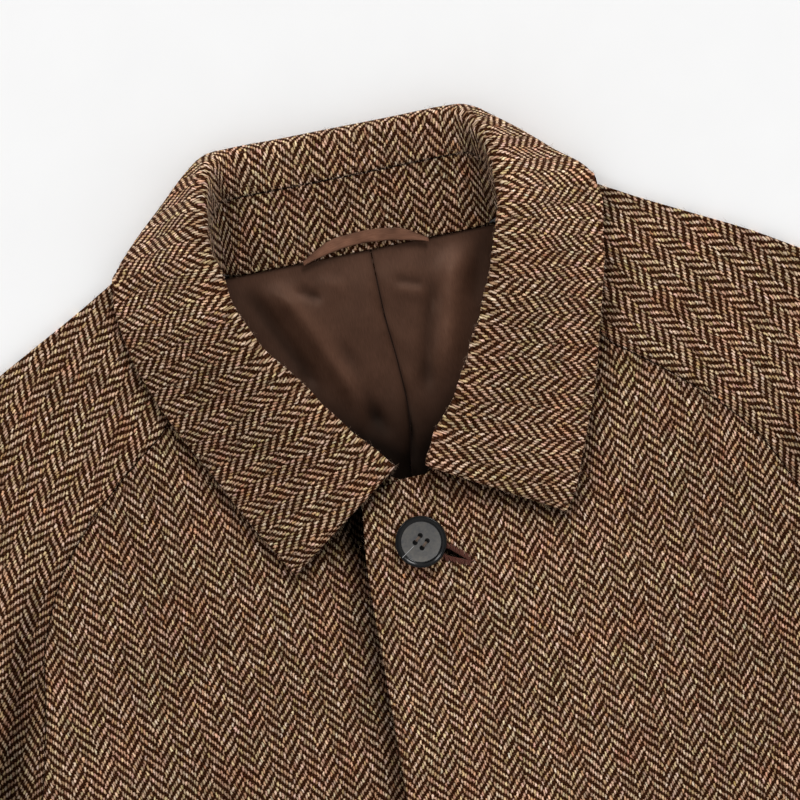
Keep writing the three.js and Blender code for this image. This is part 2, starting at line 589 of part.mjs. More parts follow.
// Centre the garment on the origin, resting on z = 0
const box = new THREE.Box3().setFromObject(group);
group.position.set(-(box.min.x + box.max.x) / 2, -(box.min.y + box.max.y) / 2, -box.min.z);

export default group;
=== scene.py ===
import math
import bpy
import numpy as np
from mathutils import Matrix, Vector
from mathutils.geometry import delaunay_2d_cdt


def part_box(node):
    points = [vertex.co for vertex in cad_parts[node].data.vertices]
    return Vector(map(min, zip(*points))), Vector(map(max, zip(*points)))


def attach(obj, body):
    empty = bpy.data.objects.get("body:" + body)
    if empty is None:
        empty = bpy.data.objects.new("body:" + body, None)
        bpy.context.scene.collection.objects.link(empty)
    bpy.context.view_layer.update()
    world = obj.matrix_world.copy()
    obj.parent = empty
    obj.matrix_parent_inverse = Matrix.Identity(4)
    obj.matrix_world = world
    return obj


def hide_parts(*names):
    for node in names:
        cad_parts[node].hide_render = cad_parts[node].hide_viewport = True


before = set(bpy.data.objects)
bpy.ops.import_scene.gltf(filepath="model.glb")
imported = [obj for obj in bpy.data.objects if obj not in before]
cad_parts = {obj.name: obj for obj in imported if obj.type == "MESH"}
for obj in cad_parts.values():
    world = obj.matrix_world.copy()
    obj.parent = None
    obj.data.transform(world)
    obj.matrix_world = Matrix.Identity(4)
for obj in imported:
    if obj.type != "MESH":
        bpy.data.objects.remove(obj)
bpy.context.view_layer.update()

# Sizes that the solids are made with, in millimetres, in the garment's own frame: x to the wearer's
# left, y from hem to collar, origin at the back neck seam
MM = 0.001
MM_PER_M = 1000.0
CLOTH = 2.5
LINING = 1.0
STAND = 3.4
FALL = 4.0
SEAM = 0.3
REST = 0.3
FLAT = CLOTH + REST  # how high the cloth lies on the back panel
HEM = -1080.0
LIFT = 22.0
LIFT_CENTRE = 2.0
LIFT_HALF_WIDTH = 130.0
EDGE_ROUND = 35.0
LEAST_LIFT = 0.4
AIR = {"x": 300.0, "y": -220.0, "slant": 0.405, "length": 420.0, "half": 80.0, "height": 2.6}
LAP = {"height": FLAT, "from": 78.0, "width": 40.0}
LINING_EASE = {"height": 1.9, "top": 20.0, "bottom": -150.0, "rise": 40.0, "side": 72.0, "width": 14.0}
BUTTON = {"x": 1.9, "y": -142.0, "radius": 12.5, "rim": 2.6, "face": 3.0, "edge": 4.6, "hole": 1.25,
          "pitch": 4.2, "rest": 0.5, "sides": 96, "bevel": 0.16}
SLIT = {"x": 24.0, "y": -155.0, "half": 1.3, "eye": 2.1, "angle": math.radians(-33.4), "open": 2.0,
        "from": 4.0, "even": 8.0, "widest": 14.0, "end": 25.0, "end_half": 0.2}
LEAF_CLEAR = 1.5
LEAF_RISE = 2.0
LEAF_END = 0.9
STAND_END = 0.5
STAND_DOWN = 0.55
BACK_TOP = 1.9
GARMENT_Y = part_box("back")[0][1] / MM - (HEM + SEAM / 2)  # the garment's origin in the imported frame
ORIGIN = np.array([0, GARMENT_Y, 0])

LIFT_ROWS = [(70, 0.3), (20, 0.55), (-20, 0.78), (-70, 0.95), (-110, 1), (-160, 0.93), (-220, 0.7),
             (-290, 0.3), (-360, 0), (-2000, 0)]
OVERARM = [(68, 3), (76, 14), (100, 15), (120, 10), (137, 0), (165, -14.5), (189, -27), (208, -39),
           (262, -72), (312, -112), (356, -164), (392, -226), (420, -290), (547, -583)]
CUFF_INNER = (391, -634)
ARMPIT = (288, -320)
HEM_CORNER = (350, HEM)
FRONT_RAGLAN = [(79, -8), (90, -35), (107, -65), (123, -76), (140, -90), (153, -102), (164, -114),
                (173, -126), (182, -145), (188, -160), (192, -187), (197, -208), (203, -232),
                (222, -272), (250, -300), ARMPIT]
UNDER_SEAM = [(96, -60), (150, -140), (196, -220), (240, -285), ARMPIT]
LEFT_NECK = [(-79, -8), (-77, -22), (-69, -40), (-57, -58), (-42, -77), (-26, -94), (-12, -105),
             (-3, -110.5)]
RIGHT_NECK = [(79, -8), (77, -24), (69, -44), (58, -63), (45, -80), (31, -96), (19, -106),
              (10, -110.5)]
UNDERLAP = 28
LAP_EDGE = [(2, -110.5), (-23, -114), (-23.5, -124), (-27, -149), (-28, -200), (-29, -240),
            (-30, -262), (-30, HEM)]
# Folds as x1, y1, x2, y2, half width, height
PAIRED_FOLDS = [(184, -130, 210, -236, 6, -2.2), (118, -52, 196, -108, 14, 1.4)]
SINGLE_FOLDS = [(70, -165, 150, -215, 20, 1.2), (-66, -165, -150, -225, 20, 1.2),
                (-26, -150, -44, -330, 10, -1)]
FOLDS = [(side * x1, y1, side * x2, *rest) for x1, y1, x2, *rest in PAIRED_FOLDS for side in (1, -1)]
FOLDS += SINGLE_FOLDS
LINING_FOLDS = [(-46, 2, -7, -80, 5.5, 3.2), (-21, -34, -4, -92, 4, -1.9), (-60, 0, -30, -66, 4.5, -1.9),
                (-34, -10, -22, -19, 3, -1.5), (-22, -8, -9, -16, 3, 0.8), (14, -15, 28, -21, 2, -1.2),
                (12, -20, 30, -27, 2.5, 0.8), (49, 3, 27, -70, 6.5, 3.4), (35, -14, 17, -76, 4, -1.9),
                (62, 2, 47, -38, 4, -1.2)]
LINING_SEAM = [(5.6, 0.8), (5.8, -32), (7.6, -52), (8.5, -72), (7.6, -89), (3.7, -106), (3.7, -165)]
LINING_SIDE = [(56, -165), (74, -60), (74, -12), (68, 0.8)]

# Collar sections on the fronts: neck seam x, y; roll x, y, z; edge x, y
RIGHT_LEAF = [
    (-6, -106, -4.4, -105.4, 40.5, -60.6, -146),
    (-14, -100, -13.2, -94.7, 41, -73, -125),
    (-26, -90, -25.3, -79.6, 41.5, -82, -108),
    (-38, -78, -35.3, -64.7, 42, -90, -91.5),
    (-50, -63, -46.4, -48.6, 42.5, -100, -73),
    (-62, -46, -56.4, -34.5, 43, -108.5, -54),
    (-71, -31, -63.4, -18.4, 43.5, -116.5, -32),
    (-75, -20, -66.5, -6.2, 43.5, -120, -14),
    (-76.6, -12, -67.5, 4, 43, -120.9, 0),
]
LEFT_LEAF = [
    (76.6, -13, 68.8, 1.8, 43, 120, 2.5),
    (75, -22, 65.8, -7.4, 43.5, 117.5, -12),
    (71.5, -33, 61.6, -18.4, 43.5, 114, -30),
    (63, -50, 52.5, -39.5, 43, 106.5, -57),
    (53, -66, 43.4, -56.5, 42.5, 99, -83),
    (42, -79.5, 33.3, -74.6, 42, 91, -104),
    (33.5, -89, 24.3, -86.6, 41.5, 85, -118),
    (24.5, -98, 17.3, -95.7, 41, 79.5, -132),
    (14.5, -105.5, 12.3, -107.6, 40.5, 72.6, -141.6),
]
# Collar sections behind the neck: neck seam x, y, z; roll x, y, z; turn x, y, z; edge x, y, z; tuck
BACK_ROWS = [
    (-77, -4, 19, -70.3, 12.5, 42, -117.5, 9, 11, -118, 7.5, 9, 0.5),
    (-75, 2, 17, -70.5, 21, 40, -112, 16.5, 10.5, -108, 18, 5, 1),
    (-72.5, 5, 14, -69.8, 30, 36.5, -102, 27, 10, -97, 22.5, 2.4, 1),
    (-70, 5.5, 10, -68, 40, 31, -88.5, 39.3, 10, -84, 27, 2.4, 1),
    (-67, 4, 7, -65.5, 49, 25, -75, 51.8, 10, -72, 30, 2.4, 1),
    (-63, 2.6, 4.6, -61.5, 54.6, 19, -65, 58.8, 9.5, -62, 22, 2.4, 1),
    (-55, 1.9, 3.9, -54, 56.6, 15.5, -55, 60.2, 9, -54, 14, 2.4, 1),
    (-28, 1.7, 3.8, -28, 56.6, 14.5, -28, 59.8, 8.8, -28, 12, 2.4, 1),
    (0, 1.6, 3.8, 0, 56.5, 14.5, 0, 59.7, 8.8, 0, 12, 2.4, 1),
    (28, 1.7, 3.8, 28, 56.4, 14.5, 28, 59.5, 8.8, 28, 12, 2.4, 1),
    (55, 1.9, 3.9, 55, 56.4, 15.5, 56, 59.6, 9, 54, 14, 2.4, 1),
    (63, 2.6, 4.6, 62.5, 54.4, 19, 66.5, 57.2, 9.5, 62, 22, 2.4, 1),
    (67, 4, 7, 67, 48.5, 25, 76, 50.2, 10, 72, 30, 2.4, 1),
    (70, 5.5, 10, 70.5, 39.5, 31, 88, 40.5, 10, 84, 27, 2.4, 1),
    (72.5, 5, 14, 71.6, 30, 36.5, 101, 28.5, 10, 97, 22.5, 2.4, 1),
    (75, 2, 17, 71.7, 20.5, 40, 111.5, 20, 10.5, 108, 18, 5, 1),
    (77, -4, 19, 71.3, 10.5, 42, 116.8, 12, 11, 117.5, 11, 9, 0.5),
]
SECTIONS_BETWEEN = 4  # collar sections worked out for each step from row to row
# How far up from the neck seam to the roll the seam of stand and fall is, and how much it stands out
SEAM_SHARE = {"leaf": 0.45, "back": 0.66}
SEAM_RISE = 1.4
# Points from roll to turn, as shares of the way and of the height, and then those from turn to edge:
# first for a leaf, then for the tucked part behind the neck
PROFILE = [(0.12, 1.01), (0.35, 0.83), (0.68, 0.36)]
UNDER_PROFILE = [(0.3, 0.7, 0.07, 0.15), (0.65, 0.35, 0.5, 0.0)]
INNER_STEP = {"along": 0.55, "height": 0.62}
STAND_LOW = {"along": 0.35, "rise": 0.5}
INNER_CORNERS = [[(-59, 47), (-64, 3)], [(66, 45), (67, 3)]]
# The collar's meshes: points across a section, every which row and column the flat cut is worked out
# from, the step between points, and the radii of the four edges
FALL_MESH = {"count": 49, "every": (2, 4), "step": 2.2, "rounds": (1.5, 1.5, 0.7, 1.6)}
STAND_MESH = {"count": 25, "every": (2, 4), "step": 2.4, "rounds": (1, 1, 0.6, 0.7)}
LOOP_ROWS = [(-27.5, 0.3), (-21.5, 2.9), (-14, 5.5), (-6, 6.8), (4, 7.2), (14, 6.4), (22, 4.9), (28.5, 2.4),
             (34.2, -0.4)]
LOOP = {"width": 6.4, "thick": 1.2, "over": 0.55, "steps": 80, "lines": 9}
BUTTON_SPIN = math.radians(-48)
BUTTON_TILT = {"angle": math.radians(9), "axis": Vector((-0.45, -1, 0)), "up": 2.4}

# How fine the panels are, and the part of the coat that the picture shows, which is made finest
PANEL_STEP = 3.0
PANEL_ROUND = 0.9
HIDDEN_STEP = 8.0
COARSER = 6  # how many times coarser a panel is outside the shown part
SHOWN = {"x": 250, "low": -290, "high": 60, "edge_x": 260, "edge_low": -300}
ROUND_STEPS = (0.18, 0.5, 1.0)  # rings round a panel's rounded edge, as shares of its radius
FLAT_RING = 1.3  # one more ring, past that edge
SEAM_RIPPLE = 0.5

# The weave: a broken herringbone, with its warp up each panel
WARP_PITCH = 1.07
WEFT_PITCH = 1.22
ENDS_IN_COLUMN = 7.0
# How far noise of some scale and detail moves the yarns, in yarns
DRIFTS = [(32.0, 3.0, 2.8), (360.0, 1.0, 1.3), (1150.0, 2.0, 1.1)]


# Small helpers
def smooth(t):
    t = np.clip(t, 0, 1)
    return t * t * (3 - 2 * t)


def mix(a, b, t):
    return a + (b - a) * t


def bell(distance, reach):
    return np.exp(-((distance / reach) ** 2))


def sided(rows, side):
    return [(side * x, y) for x, y in rows]


def along_axis(values, axis, places, at):
    """Values that are known at some places along an axis, read at others."""
    return np.apply_along_axis(lambda line: np.interp(at, places, line), axis, values)


def height_at(cloth, x, y):
    return float(cloth(np.array([float(x)]), np.array([float(y)]))[0])


def lengths_along(points, axis=0):
    """The length run so far at each point of a line."""
    steps = np.linalg.norm(np.diff(points, axis=axis), axis=-1)
    start = np.zeros_like(steps.take([0], axis=axis))
    return np.concatenate([start, np.cumsum(steps, axis=axis)], axis=axis)


def unit(vectors):
    return vectors / np.linalg.norm(vectors, axis=-1, keepdims=True)


def line_distance(x, y, rows):
    best = np.full_like(x, 1e9)
    for (ax, ay), (bx, by) in zip(rows, rows[1:]):
        dx, dy = bx - ax, by - ay
        t = np.clip(((x - ax) * dx + (y - ay) * dy) / (dx * dx + dy * dy), 0, 1)
        best = np.minimum(best, np.hypot(x - ax - dx * t, y - ay - dy * t))
    return best


def soft_noise(x, y, size, seed):
    """Smooth noise from -1 to 1 with bumps about size across."""
    u, v = x / size, y / size
    i, j = np.floor(u), np.floor(v)
    fu, fv = smooth(u - i), smooth(v - j)

    def lattice(a, b):
        value = np.sin(a * 127.1 + b * 311.7 + seed * 74.7) * 43758.5453
        return 2 * (value - np.floor(value)) - 1

    low = mix(lattice(i, j), lattice(i + 1, j), fu)
    high = mix(lattice(i, j + 1), lattice(i + 1, j + 1), fu)
    return mix(low, high, fv)


# Heights of the cloth as the solids have them
def lift_share(y):
    total = np.zeros_like(y)
    for (high, a), (low, b) in zip(LIFT_ROWS, LIFT_ROWS[1:]):
        here = (y < high) & (y >= low)
        total = np.where(here, mix(a, b, smooth((high - y) / (high - low))), total)
    return np.where(y >= LIFT_ROWS[0][0], LIFT_ROWS[0][1], total)


def fold_height(x, y, rows):
    height = np.zeros_like(x)
    for x1, y1, x2, y2, width, high in rows:
        dx, dy = x2 - x1, y2 - y1
        length = math.hypot(dx, dy)
        t = ((x - x1) * dx + (y - y1) * dy) / length**2
        across = ((x - x1) * dy - (y - y1) * dx) / length
        ends = smooth(t / 0.25) * smooth((1 - t) / 0.25)
        height += high * ends * bell(across, width)
    return height


def layer_height(x, y):
    ax = np.abs(x)
    edge = smooth(line_distance(ax, y, OVERARM) / EDGE_ROUND)
    lift = LIFT * lift_share(y) * bell(x - LIFT_CENTRE, LIFT_HALF_WIDTH)
    sin, cos = math.sin(AIR["slant"]), math.cos(AIR["slant"])
    along = ((ax - AIR["x"]) * sin - (y - AIR["y"]) * cos) / AIR["length"]
    across = ((ax - AIR["x"]) * cos + (y - AIR["y"]) * sin) / AIR["half"]
    within = smooth((along + 0.25) / 0.3) * smooth((1 - along) / 0.2)
    puff = AIR["height"] * within * np.maximum(0, 1 - across**2)
    folds = fold_height(x, y, FOLDS)
    shaped = (lift + folds * smooth((lift + puff) / 3)) * edge + puff
    return FLAT + np.where(shaped < LEAST_LIFT, 0, shaped)


def lap_height(x, y):
    return layer_height(x, y) + LAP["height"] * smooth((LAP["from"] - x) / LAP["width"])


def lining_height(x, y):
    ease = LINING_EASE
    fade = smooth(-y / ease["top"]) * smooth((y - ease["bottom"]) / ease["rise"])
    fade = fade * smooth((ease["side"] - np.abs(x)) / ease["width"])
    streaks = 0.4 * soft_noise(x + 0.45 * y * np.sign(x), 0.22 * y, 6, 4) + 0.35 * soft_noise(x, y, 17, 6)
    sunk = 0.9 * bell(line_distance(x, y, LINING_SEAM), 2.2)
    return FLAT + np.maximum(0, ease["height"] + fold_height(x, y, LINING_FOLDS) + streaks - sunk) * fade


def flat_height(x, y):
    return np.zeros_like(x)


# Mesh making
def make_object(name, form, material, cad_nodes=(), uv=None, shade=None):
    """A piece from points in garment millimetres and faces, with cloth coordinates at each point."""
    points, faces = form
    name += "_piece"
    mesh = bpy.data.meshes.new(name)
    placed = (np.asarray(points) + ORIGIN) * MM
    mesh.from_pydata(placed.tolist(), [], [tuple(f) for f in faces])
    if uv is not None:
        layer = mesh.uv_layers.new(name="cloth")
        corners = np.zeros(len(mesh.loops), dtype=np.int32)
        mesh.loops.foreach_get("vertex_index", corners)
        layer.uv.foreach_set("vector", (np.asarray(uv) * MM)[corners].astype(np.float32).ravel())
    # The shade attribute carries painted shade, and painted light where it is negative
    if shade is not None:
        values = mesh.attributes.new("shade", "FLOAT", "POINT").data
        values.foreach_set("value", np.asarray(shade, dtype=np.float32))
    mesh.polygons.foreach_set("use_smooth", [True] * len(mesh.polygons))
    mesh.materials.append(material)
    mesh.validate()
    mesh.update()
    obj = linked(name, mesh)
    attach(obj, "root")
    if cad_nodes:
        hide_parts(*cad_nodes)
    return obj


def linked(name, data):
    obj = bpy.data.objects.new(name, data)
    bpy.context.scene.collection.objects.link(obj)
    return obj


def joined(pieces):
    points, faces = [], []
    for more_points, more_faces in pieces:
        start = len(points)
        points.extend(more_points)
        faces.extend(tuple(start + k for k in face) for face in more_faces)
    return points, faces


def circle(radius, count, x=0.0, y=0.0):
    angles = [2 * math.pi * k / count for k in range(count)]
    return [(x + radius * math.cos(a), y + radius * math.sin(a)) for a in angles]


def resample(rows, step):
    """Points along a closed outline, closer together where the picture shows it."""
    points = np.array(rows, dtype=float)
    out = []
    for a, b in zip(points, np.roll(points, -1, axis=0)):
        shown = max(abs(a[0]), abs(b[0])) < SHOWN["edge_x"] and min(a[1], b[1]) > SHOWN["edge_low"]
        count = max(1, math.ceil(np.linalg.norm(b - a) / (step if shown else COARSER * step)))
        out.extend(a + (b - a) * k / count for k in range(count))
    return np.array(out)


def rounded_path(rows, passes=2):
    """The corners of an open line are cut so that it runs smoothly, its ends kept."""
    points = np.array(rows, dtype=float)
    for _ in range(passes):
        before = points[:-1] * 0.75 + points[1:] * 0.25
        after = points[:-1] * 0.25 + points[1:] * 0.75
        cut = np.empty((2 * len(before), 2))
        cut[0::2], cut[1::2] = before, after
        points = np.vstack([points[:1], cut[1:-1], points[-1:]])
    return [tuple(p) for p in points]


def inset(points, distance):
    before = unit(points - np.roll(points, 1, axis=0))
    after = unit(np.roll(points, -1, axis=0) - points)
    inward = unit(np.stack([-before[:, 1] - after[:, 1], before[:, 0] + after[:, 0]], axis=1))
    reach = inward[:, 0] * -before[:, 1] + inward[:, 1] * before[:, 0]
    return points + inward * (distance / np.maximum(0.4, reach))[:, None]


def inside(points, outline):
    x, y = points[:, 0], points[:, 1]
    odd = np.zeros(len(points), dtype=bool)
    for a, b in zip(outline, np.roll(outline, -1, axis=0)):
        crosses = (a[1] > y) != (b[1] > y)
        with np.errstate(divide="ignore", invalid="ignore"):
            at = (b[0] - a[0]) * (y - a[1]) / (b[1] - a[1]) + a[0]
        odd ^= crosses & (x < at)
    return odd


def area_of(rows):
    points = np.array(rows)
    after = np.roll(points, -1, axis=0)
    return float((points[:, 0] * after[:, 1] - after[:, 0] * points[:, 1]).sum() / 2)


def edge_loss(distance, radius):
    """What a round edge takes off a sheet's surface at some distance from its border."""
    return radius * (1 - np.sqrt(np.clip(1 - (1 - np.clip(distance / radius, 0, 1)) ** 2, 0, 1)))


def closing(tops, count):
    """The underside of a sheet's top faces, and the walls between the two at its open edges."""
    unders = [tuple(k + count for k in reversed(f)) for f in tops]
    edges = {(f[k], f[(k + 1) % len(f)]) for f in tops for k in range(len(f))}
    walls = [(b, a, a + count, b + count) for a, b in edges if (b, a) not in edges]
    return unders + sorted(walls)


def even_grid(low, high, step):
    x, y = np.meshgrid(np.arange(low[0], high[0], step), np.arange(low[1], high[1], step))
    return np.stack([x.ravel(), y.ravel()], axis=1)


def panel_grid(outline, cut, radius, step):
    """Points within an outline, fine where the picture shows the cloth, clear of the edges."""
    low, high = outline.min(axis=0), outline.max(axis=0)
    fine_low = np.maximum(low, [-SHOWN["x"], SHOWN["low"]])
    fine_high = np.minimum(high, [SHOWN["x"], SHOWN["high"]])
    fine = even_grid(fine_low, fine_high, step)
    coarse = even_grid(low, high, COARSER * step)
    shown = (np.abs(coarse[:, 0]) < SHOWN["x"] + step) & (coarse[:, 1] > SHOWN["low"] - step)
    grid = np.vstack([fine, coarse[~shown]])
    closed = np.vstack([outline, outline[:1]])
    grid = grid[inside(grid, outline)]
    grid = grid[line_distance(grid[:, 0], grid[:, 1], closed) > radius + FLAT_RING + 0.4 * step]
    if cut is not None:
        edge = np.vstack([cut, cut[:1]])
        grid = grid[~inside(grid, cut)]
        grid = grid[line_distance(grid[:, 0], grid[:, 1], edge) > radius + 0.3 * step]
    return grid


def panel_rings(outline, cut, radius):
    """The outline and lines inside it, and those round a cut, each with its depth from the edge."""
    depths = [share * radius for share in ROUND_STEPS] + [radius + FLAT_RING]
    rings = [(outline, 0.0)] + [(inset(outline, d), d) for d in depths]
    if cut is not None:
        around = cut[::-1]
        rings += [(around, 0.0)] + [(inset(around, d), d) for d in (0.3 * radius, radius)]
    return rings


def triangulated(outline, cut, radius, step):
    """Plan places over an outline, how deep each is from the edge, and the faces between them."""
    points, edges, depth = [], [], []
    for ring, d in panel_rings(outline, cut, radius):
        start, n = len(points), len(ring)
        points.extend(ring)
        depth.extend([d] * n)
        edges.extend((start + k, start + (k + 1) % n) for k in range(n))
    grid = panel_grid(outline, cut, radius, step)
    points.extend(grid)
    depth.extend([1e3] * len(grid))
    flat = [Vector((float(p[0]), float(p[1]))) for p in points]
    verts, _, faces, origins, _, _ = delaunay_2d_cdt(flat, edges, [list(range(len(outline)))], 1, 1e-5)
    plan = np.array([(v.x, v.y) for v in verts])
    if cut is not None:
        middles = np.array([plan[list(f)].mean(axis=0) for f in faces])
        faces = [f for f, out in zip(faces, inside(middles, cut)) if not out]
    return plan, np.array([depth[o[0]] if o else 0.0 for o in origins]), faces


def facing_up(plan, face):
    a, b, c = (plan[k] for k in face[:3])
    turn = (b[0] - a[0]) * (c[1] - a[1]) - (b[1] - a[1]) * (c[0] - a[0])
    return tuple(face) if turn > 0 else tuple(reversed(face))


def panel_mesh(rows, height, thickness, radius, step, cut):
    """Points, faces, plan places and flat area of a sheet over an outline, its edges rounded."""
    if area_of(rows) < 0:
        rows = rows[::-1]
    outline = inset(resample(rows, step), SEAM / 2)
    plan, depth, faces = triangulated(outline, cut, radius, step)
    lost = edge_loss(depth, radius)
    low = height(plan[:, 0], plan[:, 1])
    top = np.column_stack([plan, low + thickness - lost])
    under = np.column_stack([plan, low + lost])
    tops = [facing_up(plan, f) for f in faces]
    form = np.vstack([top, under]), tops + closing(tops, len(plan))
    return form, np.vstack([plan, plan]), abs(area_of(outline))


def edge_samples(length, start, end, step):
    """Places along a length, closer together towards both ends, where the edge is round."""
    shares = np.array([0, 0.12, 0.4, 1, 2])
    low, high = shares * start, length - shares[::-1] * end
    count = max(2, round((high[0] - low[-1]) / step))
    return np.concatenate([low, np.linspace(low[-1], high[0], count + 1)[1:-1], high])


def sheet_mesh(grid, thickness, step, rounds):
    """A closed sheet about a dense grid of points, and a function that reads other values of the
    grid at its points. rounds are the radii at its first and last rows and columns."""
    s = lengths_along(grid, 0).mean(axis=1)
    t = lengths_along(grid, 1).mean(axis=0)
    s_at = edge_samples(s[-1], rounds[0], rounds[1], step)
    t_at = edge_samples(t[-1], rounds[2], rounds[3], step)

    def read(values):
        return along_axis(along_axis(values, 0, s, s_at), 1, t, t_at)

    points = read(grid)
    normal = np.cross(np.gradient(points, axis=0), np.gradient(points, axis=1))
    normal /= np.maximum(np.linalg.norm(normal, axis=2), 1e-9)[:, :, None]
    lost_s = np.maximum(edge_loss(s_at, rounds[0]), edge_loss(s[-1] - s_at, rounds[1]))[:, None]
    lost_t = np.maximum(edge_loss(t_at, rounds[2]), edge_loss(t[-1] - t_at, rounds[3]))[None, :]
    offset = thickness / 2 - np.maximum(lost_s, lost_t)
    n, m = len(s_at), len(t_at)
    index = np.arange(n * m).reshape(n, m)
    top = (points + normal * offset[:, :, None]).reshape(-1, 3)
    under = (points - normal * offset[:, :, None]).reshape(-1, 3)
    tops = [(index[i, j], index[i + 1, j], index[i + 1, j + 1], index[i, j + 1])
            for i in range(n - 1) for j in range(m - 1)]
    return (np.vstack([top, under]), tops + closing(tops, n * m)), read


def flatten(grid, rounds=6000, pull=1.7):
    """The flat cut of a sheet: its grid's lengths and diagonals are kept as well as they can be."""
    n, m = grid.shape[:2]
    middle = m // 2
    along = lengths_along(grid[:, middle])
    across = lengths_along(grid, 1)
    flat = np.stack([np.repeat(along[:, None], m, axis=1), across - across[:, middle:middle + 1]], axis=2)
    all_but_last, all_but_first, every = slice(0, -1), slice(1, None), slice(None)
    families = []
    for a, b in (((all_but_last, every), (all_but_first, every)),
                 ((every, all_but_last), (every, all_but_first)),
                 ((all_but_last, all_but_last), (all_but_first, all_but_first)),
                 ((all_but_last, all_but_first), (all_but_first, all_but_last))):
        families.append((a, b, np.linalg.norm(grid[b] - grid[a], axis=2)))
    count = np.zeros((n, m, 1))
    for a, b, _ in families:
        count[a] += 1
        count[b] += 1
    for _ in range(rounds):
        move = np.zeros_like(flat)
        for a, b, length in families:
            d = flat[b] - flat[a]
            now = np.maximum(np.linalg.norm(d, axis=2), 1e-9)
            step = d * ((now - length) / now * 0.5)[:, :, None]
            move[a] += step
            move[b] -= step
        flat = flat + move * (pull / count)
    return flat


def hermite(values, t):
    """Catmull-Rom through rows of values at the real-valued places t."""
    values = np.asarray(values, dtype=float)
    last = len(values) - 1
    k = np.clip(np.floor(t).astype(int), 0, last - 1)
    f = (t - k).reshape(-1, *([1] * (values.ndim - 1)))
    a, b = values[np.maximum(k - 1, 0)], values[k]
    c, d = values[k + 1], values[np.minimum(k + 2, last)]
    m0, m1 = (c - a) / 2, (d - b) / 2
    ends = (2 * f**3 - 3 * f**2 + 1) * b + (f**3 - 2 * f**2 + f) * m0
    return ends + (3 * f**2 - 2 * f**3) * c + (f**3 - f**2) * m1


ACROSS_THREADS = (0.13, 0.21, 0.97)  # a direction that no thread runs in


def tube(path, radius, sides=6):
    """Points and faces of a round thread along a path."""
    path = np.asarray(path, dtype=float)
    points, faces = [], []
    for p, t in zip(path, np.gradient(path, axis=0)):
        t = unit(t)
        side = unit(np.cross(t, ACROSS_THREADS))
        up = np.cross(side, t)
        points.extend(p + radius * (math.cos(a) * side + math.sin(a) * up)
                      for a in np.linspace(0, 2 * math.pi, sides, endpoint=False))
    for i in range(len(path) - 1):
        for k in range(sides):
            after = (k + 1) % sides
            faces.append((i * sides + k, i * sides + after, (i + 1) * sides + after, (i + 1) * sides + k))
    faces.append(tuple(range(sides - 1, -1, -1)))
    faces.append(tuple(range((len(path) - 1) * sides, len(path) * sides)))
    return points, faces


# Materials
class Field:
    """A number that varies over a surface, so that its nodes can be written as sums and products."""

    def __init__(self, nodes, socket):
        self.nodes, self.socket = nodes, socket

    def __add__(self, other):
        return self.nodes.math("ADD", self, other)

    def __sub__(self, other):
        return self.nodes.math("SUBTRACT", self, other)

    def __rsub__(self, other):
        return self.nodes.math("SUBTRACT", other, self)

    def __mul__(self, other):
        return self.nodes.math("MULTIPLY", self, other)

    def __truediv__(self, other):
        return self.nodes.math("DIVIDE", self, other)

    __radd__ = __add__


class Nodes:
    """Short names for building one material's nodes."""

    def __init__(self, name):
        self.material = bpy.data.materials.new(name)
        self.material.use_nodes = True
        self.tree = self.material.node_tree
        self.shader = self.tree.nodes["Principled BSDF"]

    def put(self, socket, value):
        value = getattr(value, "socket", value)
        if isinstance(value, bpy.types.NodeSocket):
            self.tree.links.new(value, socket)
        else:
            socket.default_value = value

    def make(self, kind, values=None, **options):
        node = self.tree.nodes.new("ShaderNode" + kind)
        for key, value in options.items():
            setattr(node, key, value)
        for key, value in (values or {}).items():
            self.put(node.inputs[key], value)
        return node

    def math(self, operation, *values, clamp=False):
        node = self.make("Math", operation=operation, use_clamp=clamp)
        for socket, value in zip(node.inputs, values):
            self.put(socket, value)
        return Field(self, node.outputs[0])

    def mixed(self, factor, a, b, blend="MIX"):
        node = self.make("Mix", data_type="RGBA", blend_type=blend)
        for index, value in ((0, factor), (6, a), (7, b)):
            self.put(node.inputs[index], value)
        return node.outputs[2]

    def times(self, a, b):
        return self.mixed(1.0, a, b, "MULTIPLY")

    def noise_node(self, vector, scale, detail):
        return self.make("TexNoise", {"Vector": vector, "Scale": scale, "Detail": detail})

    def noise(self, vector, scale, detail=2.0):
        return Field(self, self.noise_node(vector, scale, detail).outputs[0])

    def vector(self, x, y, z=0.0):
        return self.make("CombineXYZ", {0: x, 1: y, 2: z}).outputs[0]

    def split(self, kind, value):
        """The three numbers of a vector or a colour."""
        return [Field(self, out) for out in self.make("Separate" + kind, {0: value}).outputs]

    def ramp(self, factor, stops):
        node = self.make("ValToRGB", {0: factor})
        marks = node.color_ramp.elements
        while len(marks) < len(stops):
            marks.new(1.0)
        for mark, (place, colour) in zip(marks, stops):
            mark.position = place
            mark.color = (*colour, 1.0)
        return node.outputs[0]

    def scaled(self, colour, factor):
        return self.make("VectorMath", {0: colour, "Scale": factor}, operation="SCALE").outputs[0]

    def shaded(self, colour):
        """The colour with the mesh's painted shade: darker where the shade is positive, and painted light
        where it is negative.
        """
        shade = self.make("Attribute", attribute_name="shade").outputs["Fac"]
        return self.scaled(colour, self.math("SUBTRACT", 1.0, shade))

    def cloth_place(self):
        return self.make("UVMap", uv_map="cloth").outputs[0]

    def object_place(self):
        return self.make("TexCoord").outputs["Object"]

    def surface(self, colour, roughness, specular, **more):
        """Sets the shader's sockets; more are named with _ for a space."""
        values = {"Base Color": colour, "Roughness": roughness, "Specular IOR Level": specular}
        values.update((key.replace("_", " "), value) for key, value in more.items())
        for key, value in values.items():
            self.put(self.shader.inputs[key], value)

    def bump(self, height, distance, strength):
        node = self.make("Bump", {"Height": height, "Distance": distance, "Strength": strength})
        self.put(self.shader.inputs["Normal"], node.outputs[0])
        return self.material


